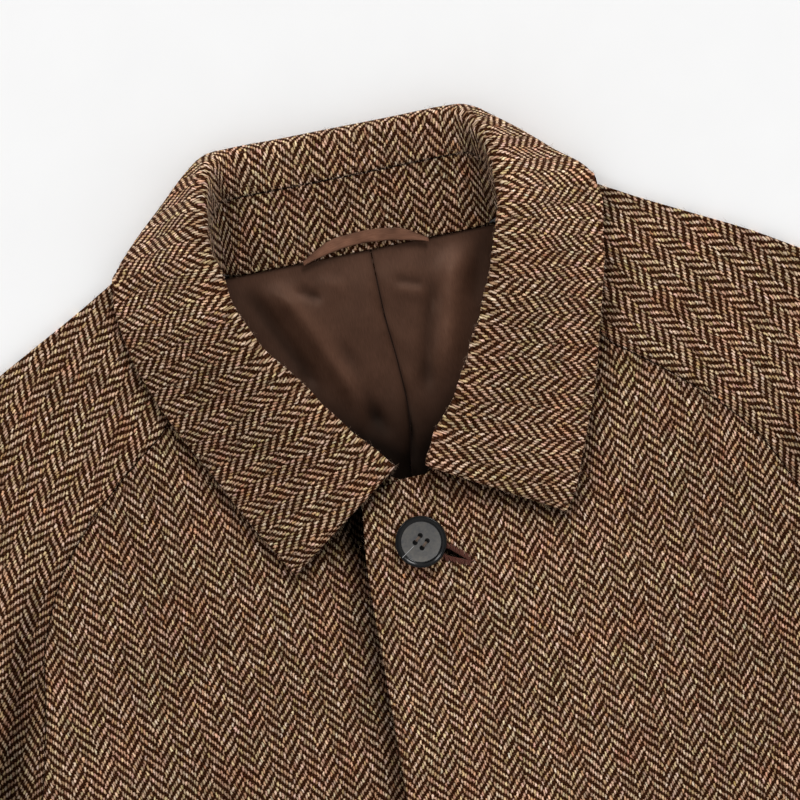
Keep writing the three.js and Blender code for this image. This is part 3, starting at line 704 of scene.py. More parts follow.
# Stops of the colour ramps, as place and colour
WARP_COLOURS = [(0.0, (0.20, 0.130, 0.086)), (0.3, (0.41, 0.296, 0.212)), (0.6, (0.61, 0.468, 0.352)),
                (0.85, (0.83, 0.680, 0.545)), (1.0, (0.98, 0.85, 0.73))]
WEFT_COLOURS = [(0.0, (0.023, 0.0070, 0.0022)), (0.5, (0.056, 0.0210, 0.0095)), (1.0, (0.140, 0.060, 0.035))]
# The hollows ramp is painted shade: it darkens the colour where the yarns dip, by the weave's height
YARN_HOLLOW_SHADE = [(0.0, (0.12, 0.066, 0.036)), (0.25, (0.22, 0.155, 0.115)), (0.5, (0.43, 0.365, 0.315)),
           (0.75, (0.77, 0.73, 0.69)), (1.0, (1.0, 1.0, 1.0))]
TINTS = [(0.0, (1.02, 0.86, 0.74)), (0.16, (1.02, 0.95, 0.97)), (0.32, (1.0, 1.0, 1.0)),
         (0.50, (1.0, 1.04, 0.82)), (0.68, (1.03, 1.07, 1.18)), (0.84, (0.98, 0.93, 1.01)),
         (1.0, (0.93, 1.03, 1.0))]
FLECKS = [(0.0, (0.55, 0.26, 0.10)), (0.3, (0.64, 0.48, 0.20)), (0.5, (0.42, 0.40, 0.35)),
          (0.7, (0.70, 0.42, 0.37)), (1.0, (0.31, 0.33, 0.29))]
PATCHES = [(0.3, (1.05, 0.93, 0.90)), (0.5, (1.0, 1.0, 1.0)), (0.7, (0.97, 1.03, 0.96))]
CASTS = [(0.25, (1.0, 0.86, 0.64)), (0.42, (1.06, 1.0, 0.92)), (0.52, (1.0, 0.97, 0.90)),
         (0.62, (1.10, 0.93, 0.91)), (0.78, (0.94, 1.0, 0.93))]


def weave(n, uv):
    """Where a place is in the weave: warp end, weft pick, step of the twill, yarn on top and its height."""
    u, v, _ = n.split("XYZ", uv)
    across, along = u * (MM_PER_M / WARP_PITCH), v * (MM_PER_M / WEFT_PITCH)
    for scale, detail, amount in DRIFTS:
        drift = n.split("Color", n.noise_node(uv, scale, detail).outputs["Color"])
        across = across + (drift[0] - 0.5) * amount
        along = along + (drift[1] - 0.5) * amount
    end, pick = n.math("FLOOR", across), n.math("FLOOR", along)
    in_end, in_pick = n.math("FRACT", across), n.math("FRACT", along)
    turned = n.math("FLOORED_MODULO", n.math("FLOOR", end / ENDS_IN_COLUMN), 2.0)
    place = n.math("FLOORED_MODULO", end, ENDS_IN_COLUMN)
    climb = place * (1.0 - turned * 2.0) + turned * (ENDS_IN_COLUMN + 1) + pick
    step = n.math("FLOORED_MODULO", climb, 4.0)
    warp_up = n.math("LESS_THAN", step, 1.5)
    from_two = step - 2.0
    in_weft = (from_two + in_end) * (1.0 - turned) + (1.0 - from_two + in_end) * turned

    def crown(value, middle, depth):
        """A yarn's round back, highest at its middle."""
        t = (value - middle) / middle
        return 1.0 - t * t * depth

    warp_height = crown(in_end, 0.5, 0.75) * crown(step + in_pick, 1.0, 0.6)
    weft_height = crown(in_pick, 0.5, 0.75) * crown(in_weft, 1.0, 0.6) * 0.75
    height = warp_up * warp_height + (1.0 - warp_up) * weft_height
    return {"across": across, "along": along, "end": end, "pick": pick, "step": step, "warp_up": warp_up,
            "height": height}


def yarn_colour(n, at):
    """The pale warp, tinted yarn by yarn, over the dark weft, with painted shade where the yarns dip between
    each other.
    """

    def streaks(per_end, per_pick, lane, detail):
        return n.noise(n.vector(at["end"] * per_end, at["along"] * per_pick, lane), 1.0, detail)

    turn = n.math("FLOOR", (at["pick"] - at["step"]) / 4.0)
    own = n.make("TexWhiteNoise", {"Vector": n.vector(at["end"], turn)}, noise_dimensions="2D")
    tone = streaks(3.7, 0.09, 0.0, 3.0) + n.math("MULTIPLY", own.outputs["Value"], 0.6) - 0.28
    flecked = n.math("GREATER_THAN", streaks(5.3, 0.13, 4.0, 1.0), 0.61) * 0.42
    warp = n.mixed(flecked, n.ramp(tone, WARP_COLOURS), n.ramp(streaks(2.1, 0.05, 9.0, 0.0), FLECKS))
    warp = n.times(warp, n.ramp(streaks(0.6, 0.10, 14.0, 2.0), CASTS))
    warp = n.times(warp, n.ramp(n.split("Color", own.outputs["Color"])[1], TINTS))
    weft = n.ramp(n.noise(n.vector(at["across"] * 0.3, at["pick"] * 4.1, 2.0), 1.0, 3.0), WEFT_COLOURS)
    return n.times(n.mixed(at["warp_up"], weft, warp), n.ramp(at["height"], YARN_HOLLOW_SHADE))


def tweed(name):
    n = Nodes(name)
    uv = n.cloth_place()
    at = weave(n, uv)
    fibre = n.noise(uv, 2600.0)
    broad = n.noise(uv, 14.0) + n.noise(uv, 85.0)
    light = (0.76 + fibre * 0.64) * (0.58 + broad * 0.42)
    colour = n.times(yarn_colour(n, at), n.ramp(n.noise(uv, 48.0), PATCHES))
    n.surface(n.shaded(n.scaled(colour, light)), 0.92, 0.0, Sheen_Weight=0.08, Sheen_Roughness=0.25,
              Sheen_Tint=(1.0, 0.74, 0.66, 1.0))
    return n.bump(at["height"] + fibre * 0.35, 0.00045, 0.9)


RIB_SLANT = 0.35
FULL_TURN = 6.2832


def satin(name, dark, light, pitch, rough):
    n = Nodes(name)
    uv = n.cloth_place()
    u, v, _ = n.split("XYZ", uv)
    across, along = u * (MM_PER_M / pitch), v * (MM_PER_M / pitch)
    ribs = n.math("SINE", (across + along * RIB_SLANT) * FULL_TURN)
    threads = n.noise(n.vector(across, along * 0.08), 1.0)
    tone = threads * 0.5 + n.noise(uv, 60.0, 3.0) * 0.5
    tone = n.math("MULTIPLY", tone - 0.25, 2.0, clamp=True)
    n.surface(n.shaded(n.mixed(tone, (*dark, 1), (*light, 1))), threads * 0.12 + (rough - 0.06), 0.22,
              Specular_Tint=(1.0, 0.66, 0.50, 1.0))
    return n.bump(ribs + threads * 0.8, 0.00003, 0.8)


def horn(name, dark, light, rough, gloss):
    n = Nodes(name)
    place = n.object_place()
    grain = n.noise(place, 900.0, 3.0)
    tone = n.noise(place, 95.0, 4.0) * 0.7 + grain * 0.3
    specks = n.math("GREATER_THAN", n.noise(place, 1500.0, 1.0), 0.735) * 0.7
    colour = n.mixed(specks, n.ramp(tone, [(0.32, dark), (0.68, light)]), (*dark, 1))
    n.surface(colour, grain * 0.15 + rough, gloss)
    return n.bump(grain, 0.00004, 0.4)


def thread(name, colour):
    n = Nodes(name)
    fibre = n.noise(n.object_place(), 4000.0, 3.0)
    dark = tuple(0.45 * c for c in colour)
    n.surface(n.mixed(fibre, (*dark, 1), (*colour, 1)), 0.8, 0.1)
    return n.bump(fibre, 0.0001, 0.8)


TWEED = tweed("tweed")
SATIN = satin("lining_satin", (0.041, 0.0185, 0.0110), (0.092, 0.0445, 0.0280), 0.35, 0.36)
TAPE = satin("loop_satin", (0.113, 0.048, 0.028), (0.313, 0.151, 0.094), 0.4, 0.5)
HORN = horn("button_rim", (0.0012, 0.0012, 0.0014), (0.004, 0.004, 0.0045), 0.10, 0.24)
HORN_FACE = horn("button_face", (0.045, 0.047, 0.054), (0.122, 0.112, 0.096), 0.34, 0.4)
HORN_BORE = horn("button_bore", (0.0008, 0.0008, 0.0008), (0.002, 0.002, 0.002), 0.8, 0.05)
THREAD = thread("buttonhole_thread", (0.150, 0.056, 0.040))
SEAM_THREAD = thread("seam_thread", (0.016, 0.0075, 0.0050))
BUTTON_THREAD = thread("button_thread", (0.20, 0.145, 0.112))
SCRATCH = thread("loose_fibre", (0.52, 0.52, 0.52))
HAIR = thread("fuzz", (0.40, 0.27, 0.19))


# Shapes of the panels, over the heights of the solids
def eased(height, seed, shape):
    """The cloth's height with small soft ripples and its own folds, never reaching the layer below."""

    def shaped(x, y):
        base = height(x, y)
        room = smooth((base - CLOTH - REST) / 4)
        ripple = SEAM_RIPPLE * (soft_noise(x, y, 46, seed) * 0.6 + soft_noise(x, y, 21, seed + 3) * 0.4)
        total = base + (SEAM_RIPPLE + ripple) * room + shape(x, y)
        return np.maximum(total, np.minimum(base, FLAT))

    return shaped


# Bands along a line, as height, distance from the line and reach
FRONT_BANDS = {"swell": (6.0, 0, 19), "edge": (0.35, 0, 3)}
SLEEVE_BANDS = {"swell": (7.5, 27, 12), "rise": (3.6, 0, 5), "furrow": (3.0, 9, 7), "edge": (0.4, 0, 3)}
RISE_END = {"y": -190, "fade": 60}
LAP_LIFT = (2.6, 0, 18)
LAP_DIP = {"depth": 3.6, "x": -36, "slant": 0.03, "y": -150, "reach": 7}
# Stretches of the coat, as y of the top and its fade, y of the bottom and its fade
SEAM_STRETCH = (-105, 60, -420, 90)
LIFT_STRETCH = (-112, 22, -420, 160)
DIP_STRETCH = (-108, 20, -460, 200)


def band(away, amount, middle, reach):
    return amount * bell(away - middle, reach)


def spot(x, y, amount, middle_x, middle_y, proportion, reach):
    return amount * bell(np.hypot(x - middle_x, proportion * (y - middle_y)), reach)


def stretch(y, top, top_fade, bottom, bottom_fade):
    return smooth((top - y) / top_fade) * smooth((y - bottom) / bottom_fade)


def from_raglan(x, y):
    return line_distance(np.abs(x), y, FRONT_RAGLAN)


def front_shape(x, y):
    """The thick seam edge of a front."""
    away = from_raglan(x, y)
    return band(away, *FRONT_BANDS["swell"]) * stretch(y, *SEAM_STRETCH) + band(away, *FRONT_BANDS["edge"])


def left_front_shape(x, y):
    """The lap's edge lifts a little off the front below."""
    return front_shape(x, y) + band(line_distance(x, y, LAP_EDGE), *LAP_LIFT) * stretch(y, *LIFT_STRETCH)


def right_front_shape(x, y):
    """The front below dips beside the lap's edge."""
    beside = bell(x - LAP_DIP["x"] + LAP_DIP["slant"] * (y - LAP_DIP["y"]), LAP_DIP["reach"])
    return front_shape(x, y) - LAP_DIP["depth"] * beside * stretch(y, *DIP_STRETCH)


def sleeve_shape(x, y):
    """The furrow beside the sleeve seam, and the fuller cloth past it."""
    away = from_raglan(x, y)
    swell, rise, furrow, edge = (band(away, *values) for values in SLEEVE_BANDS.values())
    rise = rise * (1 - smooth((RISE_END["y"] - y) / RISE_END["fade"]))
    return (swell + rise - furrow) * stretch(y, *SEAM_STRETCH) - edge


# Painted shade of the panels: how much darker the colour of wool and lining is painted in hollows and angles,
# from 0 to 1, and painted light below 0
def leaf_line(rows):
    """The outline of a leaf, from its roll at the front round its tip to the shoulder."""
    return [rows[0][2:4]] + [row[5:7] for row in rows]


LEAF_LINES = {"right": leaf_line(RIGHT_LEAF), "left": leaf_line(LEFT_LEAF[::-1])}
ROLL_LINES = {"right": [row[2:4] for row in RIGHT_LEAF], "left": [row[2:4] for row in LEFT_LEAF]}
BUTTONHOLE_LINE = [(BUTTON["x"], BUTTON["y"]), (SLIT["x"], SLIT["y"])]
# Bands as painted shade, distance from the line and reach
LEAF_SHADES = {"right": (0.42, 0, 5), "left": (0.54, 0, 6)}
ROLL_SHADES = {"right": (0.35, 0, 7), "left": (0.2, 0, 6)}
RAGLAN_SHADE = (0.22, 0, 2)
LAP_SHADE = {"above": 0.24, "more": 0.46, "top": -104, "top_fade": 14, "bottom": -330, "bottom_fade": 150,
             "reach": 10}
SLOT_SHADE = (0.97, 0, 5)
LINING_SEAM_SHADE = (0.4, 0, 1.3)
# Spots as painted shade, or painted light where negative, x and y of the middle, width over height, and reach
# to the side
PAINTED_LIGHT_FRONT = (-0.1, 25, -255, 0.8, 55)
LEAF_CORNER = (0.55, -28, -129, 0.7, 13)
SIDES_SHADE = {"amount": 0.07, "x": 20, "half": 45, "fade": 70}
FURROW_SHADE = {"y": -140, "fade": 80, "amount": (0.5, 0.74), "away": (9, 17), "reach": (8, 12)}
# Painted shade deep in the lining's V and in fold furrows, and painted highlight on fold ridges
LINING_DEPTH = {"amount": 0.95, "y": -52, "fade": 58, "furrow": 0.30, "ridge": 0.13}
DARKEST = 0.8
DARKEST_SLOT = 0.97


def leaf_shade(x, y):
    """Painted shade in the angle under a leaf's edge, where the wool lies deeper."""
    return np.maximum(*(band(line_distance(x, y, LEAF_LINES[key]), *LEAF_SHADES[key]) for key in LEAF_LINES))


# Painted shade towards the sides, under the leaves' edges and along the raglan seam, and painted light low on
# the front
def front_shade(x, y):
    sides = SIDES_SHADE
    aside = sides["amount"] * smooth((np.abs(x - sides["x"]) - sides["half"]) / sides["fade"])
    aside = aside + spot(x, y, *PAINTED_LIGHT_FRONT)
    return np.minimum(DARKEST, aside + leaf_shade(x, y) + band(from_raglan(x, y), *RAGLAN_SHADE))


def right_front_shade(x, y):
    """Painted shade beside the lap, at the leaf's corner and behind the buttonhole, where it is near black.
    """
    lap = LAP_SHADE
    beside = bell(line_distance(x, y, LAP_EDGE), lap["reach"]) * smooth((lap["top"] - y) / lap["top_fade"])
    beside = beside * (lap["above"] + lap["more"] * smooth((y - lap["bottom"]) / lap["bottom_fade"]))
    slot = band(line_distance(x, y, BUTTONHOLE_LINE), *SLOT_SHADE)
    shade = np.maximum(front_shade(x, y), beside) + spot(x, y, *LEAF_CORNER)
    return np.minimum(DARKEST_SLOT, np.maximum(shade, slot))


# Painted shade in the furrow beside the sleeve seam, under the leaves' edges and along the seam
def sleeve_shade(x, y):
    away = from_raglan(x, y)
    lower = smooth((FURROW_SHADE["y"] - y) / FURROW_SHADE["fade"])
    amount, middle, reach = (mix(*FURROW_SHADE[key], lower) for key in ("amount", "away", "reach"))
    furrow = band(away, amount, middle, reach) * stretch(y, *SEAM_STRETCH)
    return np.minimum(DARKEST, furrow + leaf_shade(x, y) + band(away, *RAGLAN_SHADE))


# Painted shade deep in the neck's V, beside the collar's roll, along the centre seam and in the folds'
# furrows, and painted highlight on the folds' ridges
def lining_shade(x, y):
    depth = LINING_DEPTH
    deep = depth["amount"] * smooth((depth["y"] - y) / depth["fade"])
    beside = sum(band(line_distance(x, y, ROLL_LINES[key]), *ROLL_SHADES[key]) for key in ROLL_LINES)
    seam = band(line_distance(x, y, LINING_SEAM), *LINING_SEAM_SHADE)
    folds = fold_height(x, y, LINING_FOLDS)
    painted_fold_shading = -depth["furrow"] * np.minimum(0, folds) - depth["ridge"] * np.maximum(0, folds)
    return np.clip(deep + beside + seam + painted_fold_shading, -0.45, 0.98)


def grain_line(step=10, length=760):
    """A sleeve's grain, from the neck down its middle."""
    points, x, y, along = [(70.0, 25.0)], 70.0, 25.0, 0.0
    while along < length:
        turn = math.radians(38 - 18 * float(smooth(np.array((along - 90) / 190))) + 3 * min(1, along / 500))
        x, y, along = x + step * math.sin(turn), y - step * math.cos(turn), along + step
        points.append((x, y))
    return np.array(points)


GRAIN = grain_line()


def sleeve_uv(plan, side):
    """Cloth coordinates beside and along the sleeve's grain."""
    x, y = plan[:, 0] * side, plan[:, 1]
    best = np.full(len(plan), 1e9)
    u, v = np.zeros(len(plan)), np.zeros(len(plan))
    along = 0.0
    for k, (a, b) in enumerate(zip(GRAIN, GRAIN[1:])):
        d = b - a
        length = np.linalg.norm(d)
        t = ((x - a[0]) * d[0] + (y - a[1]) * d[1]) / length**2
        t = np.clip(t, -1e9 if k == 0 else 0, 1e9 if k == len(GRAIN) - 2 else 1)
        px, py = x - a[0] - d[0] * t, y - a[1] - d[1] * t
        far = np.hypot(px, py)
        closer = far < best
        u = np.where(closer, far * np.sign(d[0] * py - d[1] * px), u)
        v = np.where(closer, -(along + t * length), v)
        best = np.minimum(best, far)
        along += length
    return np.column_stack([u * side + 3.1, v])


def slit():
    """The buttonhole's outline, a slot from a round eye under the button, pulled open beside it."""
    angle, half, end = SLIT["angle"], SLIT["half"], SLIT["end"]
    start = math.asin(half / SLIT["eye"])
    turns = np.linspace(start, 2 * math.pi - start, 15)
    eye = [(SLIT["eye"] * math.cos(a), SLIT["eye"] * math.sin(a)) for a in turns]
    places = [SLIT["from"], SLIT["even"], SLIT["widest"], end]
    halves = [half, half, SLIT["open"], SLIT["end_half"]]
    wedge = [(x, float(np.interp(x, places, halves))) for x in np.linspace(SLIT["from"], end, 16)]
    local = np.array(eye + [(x, -y) for x, y in wedge] + wedge[::-1])
    turn = np.array([[math.cos(angle), math.sin(angle)], [-math.sin(angle), math.cos(angle)]])
    return local @ turn + [BUTTON["x"], BUTTON["y"]]


def panel(name, rows, height, material=TWEED, thickness=CLOTH, step=PANEL_STEP,
          radius=PANEL_ROUND, cut=None, shade_of=None, sleeve=0, shift=(0, 0)):
    """A sheet for a CAD node of the same name. sleeve is the side whose grain it follows."""
    form, plan, area = panel_mesh(rows, height, thickness, radius, step, cut)
    shade = None if shade_of is None else shade_of(plan[:, 0], plan[:, 1])
    uv = sleeve_uv(plan, sleeve) if sleeve else plan + shift
    obj = make_object(name, form, material, [name], uv, shade)
    size = plan.max(axis=0) - plan.min(axis=0)
    size[0] * MM
    size[1] * MM
    area * MM * MM


RAGLAN = rounded_path(FRONT_RAGLAN)
SHOULDER = rounded_path(OVERARM[1:])
LAP_LINE = [LAP_EDGE[0], *rounded_path(LAP_EDGE[1:])]
SIDES = ((1, "left"), (-1, "right"))
FRONT_SEED = 21
SLEEVE_SEED = 11

panel("back", [(-68, BACK_TOP), (68, BACK_TOP), *UNDER_SEAM, HEM_CORNER, *sided([HEM_CORNER], -1),
               *sided(UNDER_SEAM, -1)[::-1]], flat_height, step=HIDDEN_STEP)
for side, word in SIDES:
    panel(f"sleeve_{word}_back", sided([*OVERARM, CUFF_INNER, *UNDER_SEAM[::-1]], side), flat_height,
          step=HIDDEN_STEP, sleeve=side)
    panel(f"sleeve_{word}_front", sided([*SHOULDER, CUFF_INNER, *RAGLAN[::-1]], side),
          eased(layer_height, SLEEVE_SEED + side, sleeve_shape),
          shade_of=sleeve_shade, sleeve=side)
panel("front_right", [*LEFT_NECK, (UNDERLAP, -116), (UNDERLAP, HEM), (-HEM_CORNER[0], HEM),
                      *sided(RAGLAN[1:], -1)[::-1]],
      eased(layer_height, FRONT_SEED, right_front_shape), shade_of=right_front_shade)
LAP_CLOTH = eased(lap_height, FRONT_SEED, left_front_shape)
panel("front_left", [*RIGHT_NECK, *LAP_LINE, HEM_CORNER, *RAGLAN[1:][::-1]], LAP_CLOTH,
      cut=slit(), shade_of=front_shade, shift=(2.6, 1.4))
for side, word in SIDES:
    panel(f"lining_back_{word}", [*LINING_SEAM, *sided(LINING_SIDE, side)], lining_height, SATIN,
          LINING, step=2.0, radius=0.3, shade_of=lining_shade)


# Collar
def leaf_section(row, cloth):
    """Neck seam, roll, turn, edge and tuck of a section whose leaf lies on a front."""
    nx, ny, rx, ry, rz, ex, ey = row
    seam = np.array([nx, ny, height_at(cloth, nx, ny) + CLOTH / 2])
    roll = np.array([rx, ry, rz])
    edge = np.array([ex, ey, height_at(cloth, ex, ey) + CLOTH + REST + FALL / 2 + LEAF_CLEAR])
    turn = mix(roll, edge, LEAF_END)
    turn[2] = edge[2] + LEAF_RISE
    return seam, roll, turn, edge, 0


def back_section(row):
    return (*(np.array(row[k:k + 3], dtype=float) for k in (0, 3, 6, 9)), row[12])


def collar_sections():
    rows = [leaf_section(row, layer_height) for row in RIGHT_LEAF]
    rows += [back_section(row) for row in BACK_ROWS]
    rows += [leaf_section(row, lap_height) for row in LEFT_LEAF]
    t = np.arange(0, len(rows) - 1 + 1e-9, 1 / SECTIONS_BETWEEN)
    parts = [hermite([row[k] for row in rows], t) for k in range(4)]
    tucks = np.interp(t, np.arange(len(rows)), [row[4] for row in rows])
    return list(zip(*parts, tucks))


def seam_point(section):
    """Where the stand meets the turned-down collar."""
    n, r, _, _, tuck = section
    point = mix(n, r, mix(SEAM_SHARE["leaf"], SEAM_SHARE["back"], tuck))
    point[2] += SEAM_RISE * tuck
    return point


def between(a, b, along, height):
    """A point along the way from a to b, with its own share of their heights from b up to a."""
    point = mix(a, b, along)
    point[2] = mix(b[2], a[2], height)
    return point


def fall_line(section):
    _, r, q, e, tuck = section
    s = seam_point(section)
    inner = mix(s, r, INNER_STEP["along"])
    inner[2] = mix(s[2], r[2], INNER_STEP["height"])
    line = [s, inner, r]
    line += [between(r, q, along, height) for along, height in PROFILE]
    line.append(q)
    for leaf_along, leaf_height, tuck_along, tuck_height in UNDER_PROFILE:
        along, height = mix(leaf_along, tuck_along, tuck), mix(leaf_height, tuck_height, tuck)
        line.append(between(q, e, along, height))
    line.append(e)
    return np.array(line)


def stand_line(section):
    n = section[0]
    s = seam_point(section)
    low = mix(n, s, STAND_LOW["along"])
    low[2] += STAND_LOW["rise"]
    end = n - np.array([0, STAND_DOWN, 0]) * section[4]
    return np.array([end, low, s - unit(s - low) * STAND_END])


def by_length(line, count):
    """A line's smooth curve at even steps of its length."""
    dense = hermite(line, np.linspace(0, len(line) - 1, 12 * len(line)))
    length = lengths_along(dense)
    return along_axis(dense, 0, length, np.linspace(0, length[-1], count))


# Painted light on the two leaves and at the top of the fall, and painted shade on the right leaf
PAINTED_LIGHT_SPOTS = [(0.30, 98, 12, 1, 42), (0.09, -98, 5, 1, 42)]
PAINTED_LIGHT_TOP = {"amount": 0.1, "y": 36, "fade": 12}
DIM_LEAF = {"amount": 0.16, "x": -40, "x_fade": 25, "y": -5, "y_fade": 35}
COLLAR_SEAM = {"amount": 0.44, "reach": 1.7, "even": 0.62, "uneven": 0.38, "size": 2.6, "seed": 31}
CORNER = {"amount": 0.5, "reach": 8, "depth": 16, "fade": 8}


def collar_shade(grid, seam_first):
    """Painted shade, uneven, beside the seam of fall and stand, in the inner corners and on the right leaf,
    and painted light on the two leaves and at the top of the fall.
    """
    inner = grid if seam_first else grid[:, ::-1]
    away = lengths_along(inner, 1)
    x, y = inner[..., 0], inner[..., 1]
    seam, top, leaf = COLLAR_SEAM, PAINTED_LIGHT_TOP, DIM_LEAF
    uneven = seam["even"] + seam["uneven"] * soft_noise(x, y, seam["size"], seam["seed"])
    shade = seam["amount"] * bell(away, seam["reach"]) * uneven
    corner = sum(bell(line_distance(x, y, line), CORNER["reach"]) for line in INNER_CORNERS)
    shallow = smooth((CORNER["depth"] - away) / CORNER["fade"]) if seam_first else 1
    shade = shade + CORNER["amount"] * corner * shallow
    painted_light_and_shade = sum(spot(x, y, *values) for values in PAINTED_LIGHT_SPOTS)
    painted_light_and_shade = painted_light_and_shade + top["amount"] * smooth((y - top["y"]) / top["fade"])
    dim = leaf["amount"] * smooth((leaf["x"] - x) / leaf["x_fade"]) * smooth((leaf["y"] - y) / leaf["y_fade"])
    shade = np.clip(shade + dim - painted_light_and_shade, -0.4, 0.8)[..., None]
    return shade if seam_first else shade[:, ::-1]


def flat_cut(grid, every):
    """Where each point of a grid lies in the flat cut, the middle of the piece upright."""
    rows, columns = every
    flat = flatten(grid[::rows, ::columns])
    middle = len(flat) // 2
    up = flat[middle, -1] - flat[middle, 0]
    angle = math.atan2(up[0], up[1])
    turn = np.array([[math.cos(angle), -math.sin(angle)], [math.sin(angle), math.cos(angle)]])
    flat = (flat - flat[middle, 0]) @ turn.T
    n, m = grid.shape[:2]
    flat = along_axis(flat, 0, np.arange(0, n, rows), np.arange(n))
    return along_axis(flat, 1, np.arange(0, m, columns), np.arange(m))


def twice_area(p, q):
    return p[..., 0] * q[..., 1] - p[..., 1] * q[..., 0]


def collar_piece(name, lines, thickness, count, every, step, rounds):
    grid = np.array([by_length(line, count) for line in lines])
    form, read = sheet_mesh(grid, thickness, step, rounds)
    flat = flat_cut(grid, every)
    uv = np.tile(read(flat).reshape(-1, 2), (2, 1))
    shade = np.tile(read(collar_shade(grid, name == "collar_fall")).ravel(), 2)
    obj = make_object(name, form, TWEED, [name], uv, shade)
    size = flat.reshape(-1, 2).max(axis=0) - flat.reshape(-1, 2).min(axis=0)
    a, b, c, d = flat[:-1, :-1], flat[1:, :-1], flat[1:, 1:], flat[:-1, 1:]
    area = float(np.abs(twice_area(b - a, c - a) / 2 + twice_area(c - a, d - a) / 2).sum())
    return obj, {"flat": (size[0] * MM, size[1] * MM), "held": "folded",
                 "rests_on": ["front_left", "front_right"], "area": area * MM * MM}


SECTIONS = collar_sections()
FALL_PIECE, FALL_CUT = collar_piece("collar_fall", [fall_line(s) for s in SECTIONS], FALL, **FALL_MESH)
STAND_PIECE, STAND_CUT = collar_piece("collar_stand", [stand_line(s) for s in SECTIONS], STAND, **STAND_MESH)


# Hanger loop
def stand_top(y):
    line = stand_line(SECTIONS[len(SECTIONS) // 2])
    return float(np.interp(y, line[:, 1], line[:, 2])) + STAND / 2


def hanger_loop():
    """A flat satin loop whose ends turn down into the neck seam."""
    lines, thick = LOOP["lines"], LOOP["thick"]
    path = hermite(LOOP_ROWS, np.linspace(0, len(LOOP_ROWS) - 1, LOOP["steps"]))
    along = np.abs(np.linspace(-1, 1, len(path)))
    width = LOOP["width"] * (0.94 - 0.55 * smooth((along - 0.45) / 0.55))
    width = width + 0.3 * soft_noise(path[:, 0], path[:, 1], 5, 12)
    tilt = 0.12 * smooth((along - 0.5) / 0.5)
    over = LOOP["over"] + thick / 2
    offs = np.linspace(0.5, -0.5, lines)
    grid = np.array([[(x, y + off * w, stand_top(max(y + off * w, 1.5)) + over - off * w * lean)
                      for off in offs] for (x, y), w, lean in zip(path, width, tilt)])
    form, read = sheet_mesh(grid, thick, 0.8, (0.4, 0.4, 0.5, 0.5))
    flat = np.stack([np.repeat(np.linspace(0, LOOP["width"], lines)[None], len(path), axis=0),
                     np.repeat(path[:, :1], lines, axis=1)], axis=2)
    edge = np.abs(np.linspace(-1, 1, lines))[None]
    # Painted shade along the loop's long edges and towards its ends, with uneven painted light and shade over
    # it
    painted_light_and_shade = 0.22 * soft_noise(grid[..., 0], 2 * grid[..., 1], 4.5, 15) + 0.12
    shade = np.clip(0.42 * edge**3 + painted_light_and_shade + 0.3 * (along[:, None] ** 6), 0, 0.8)[..., None]
    return make_object("hanger_loop", form, TAPE, ["hanger_loop"],
                       np.tile(read(flat).reshape(-1, 2), (2, 1)), np.tile(read(shade).ravel(), 2))


LOOP_PIECE = hanger_loop()


# Button and buttonhole
def button_place():
    x, y, r = BUTTON["x"], BUTTON["y"], BUTTON["radius"]
    rise_x = height_at(lap_height, x + r, y) - height_at(lap_height, x - r, y)
    rise_y = height_at(lap_height, x, y + r) - height_at(lap_height, x, y - r)
    slope = Vector((-rise_x / (2 * r), -rise_y / (2 * r), 1))
    z = height_at(lap_height, x, y) + CLOTH + BUTTON["rest"] + BUTTON_TILT["up"]
    turn = Vector((0, 0, 1)).rotation_difference(slope.normalized()).to_matrix().to_4x4()
    turn = Matrix.Rotation(BUTTON_TILT["angle"], 4, BUTTON_TILT["axis"]) @ turn
    return Matrix.Translation((x, y, z)) @ turn


def placed_on_button(points):
    place = button_place()
    return [tuple(place @ Vector(p)) for p in points]


def spun(x, y):
    cos, sin = math.cos(BUTTON_SPIN), math.sin(BUTTON_SPIN)
    return x * cos - y * sin, x * sin + y * cos


def button_profile():
    """Radius and height, from the middle of the underside round the rim to the middle of the face."""
    r, face, edge = BUTTON["radius"], BUTTON["face"], BUTTON["edge"]
    inner = r - BUTTON["rim"]
    return [(0, 0.05), (r - 1.4, 0.05), (r - 0.5, 0.5), (r - 0.08, 1.5), (r, 2.6), (r - 0.08, edge - 0.95),
            (r - 0.28, edge - 0.45), (r - 0.62, edge - 0.25), (r - 0.95, edge - 0.35),
            (inner + 0.75, face + 0.92), (inner + 0.45, face + 0.70), (inner + 0.12, face + 0.25),
            (inner - 0.3, face + 0.04), (5.5, face - 0.12), (3.6, face - 0.3), (0, face - 0.3)]


def lathe(profile, sides):
    """Points and faces of a solid turned about its axis, from a profile that starts and ends there."""
    points, faces = [(0, 0, profile[0][1])], []
    for radius, z in profile[1:-1]:
        points.extend((x, y, z) for x, y in circle(radius, sides))
    points.append((0, 0, profile[-1][1]))
    rings = len(profile) - 2
    for k in range(sides):
        after = (k + 1) % sides
        faces.append((0, 1 + after, 1 + k))
        for ring in range(rings - 1):
            base = 1 + ring * sides
            faces.append((base + k, base + after, base + sides + after, base + sides + k))
        base = 1 + (rings - 1) * sides
        faces.append((base + k, base + after, len(points) - 1))
    return points, faces


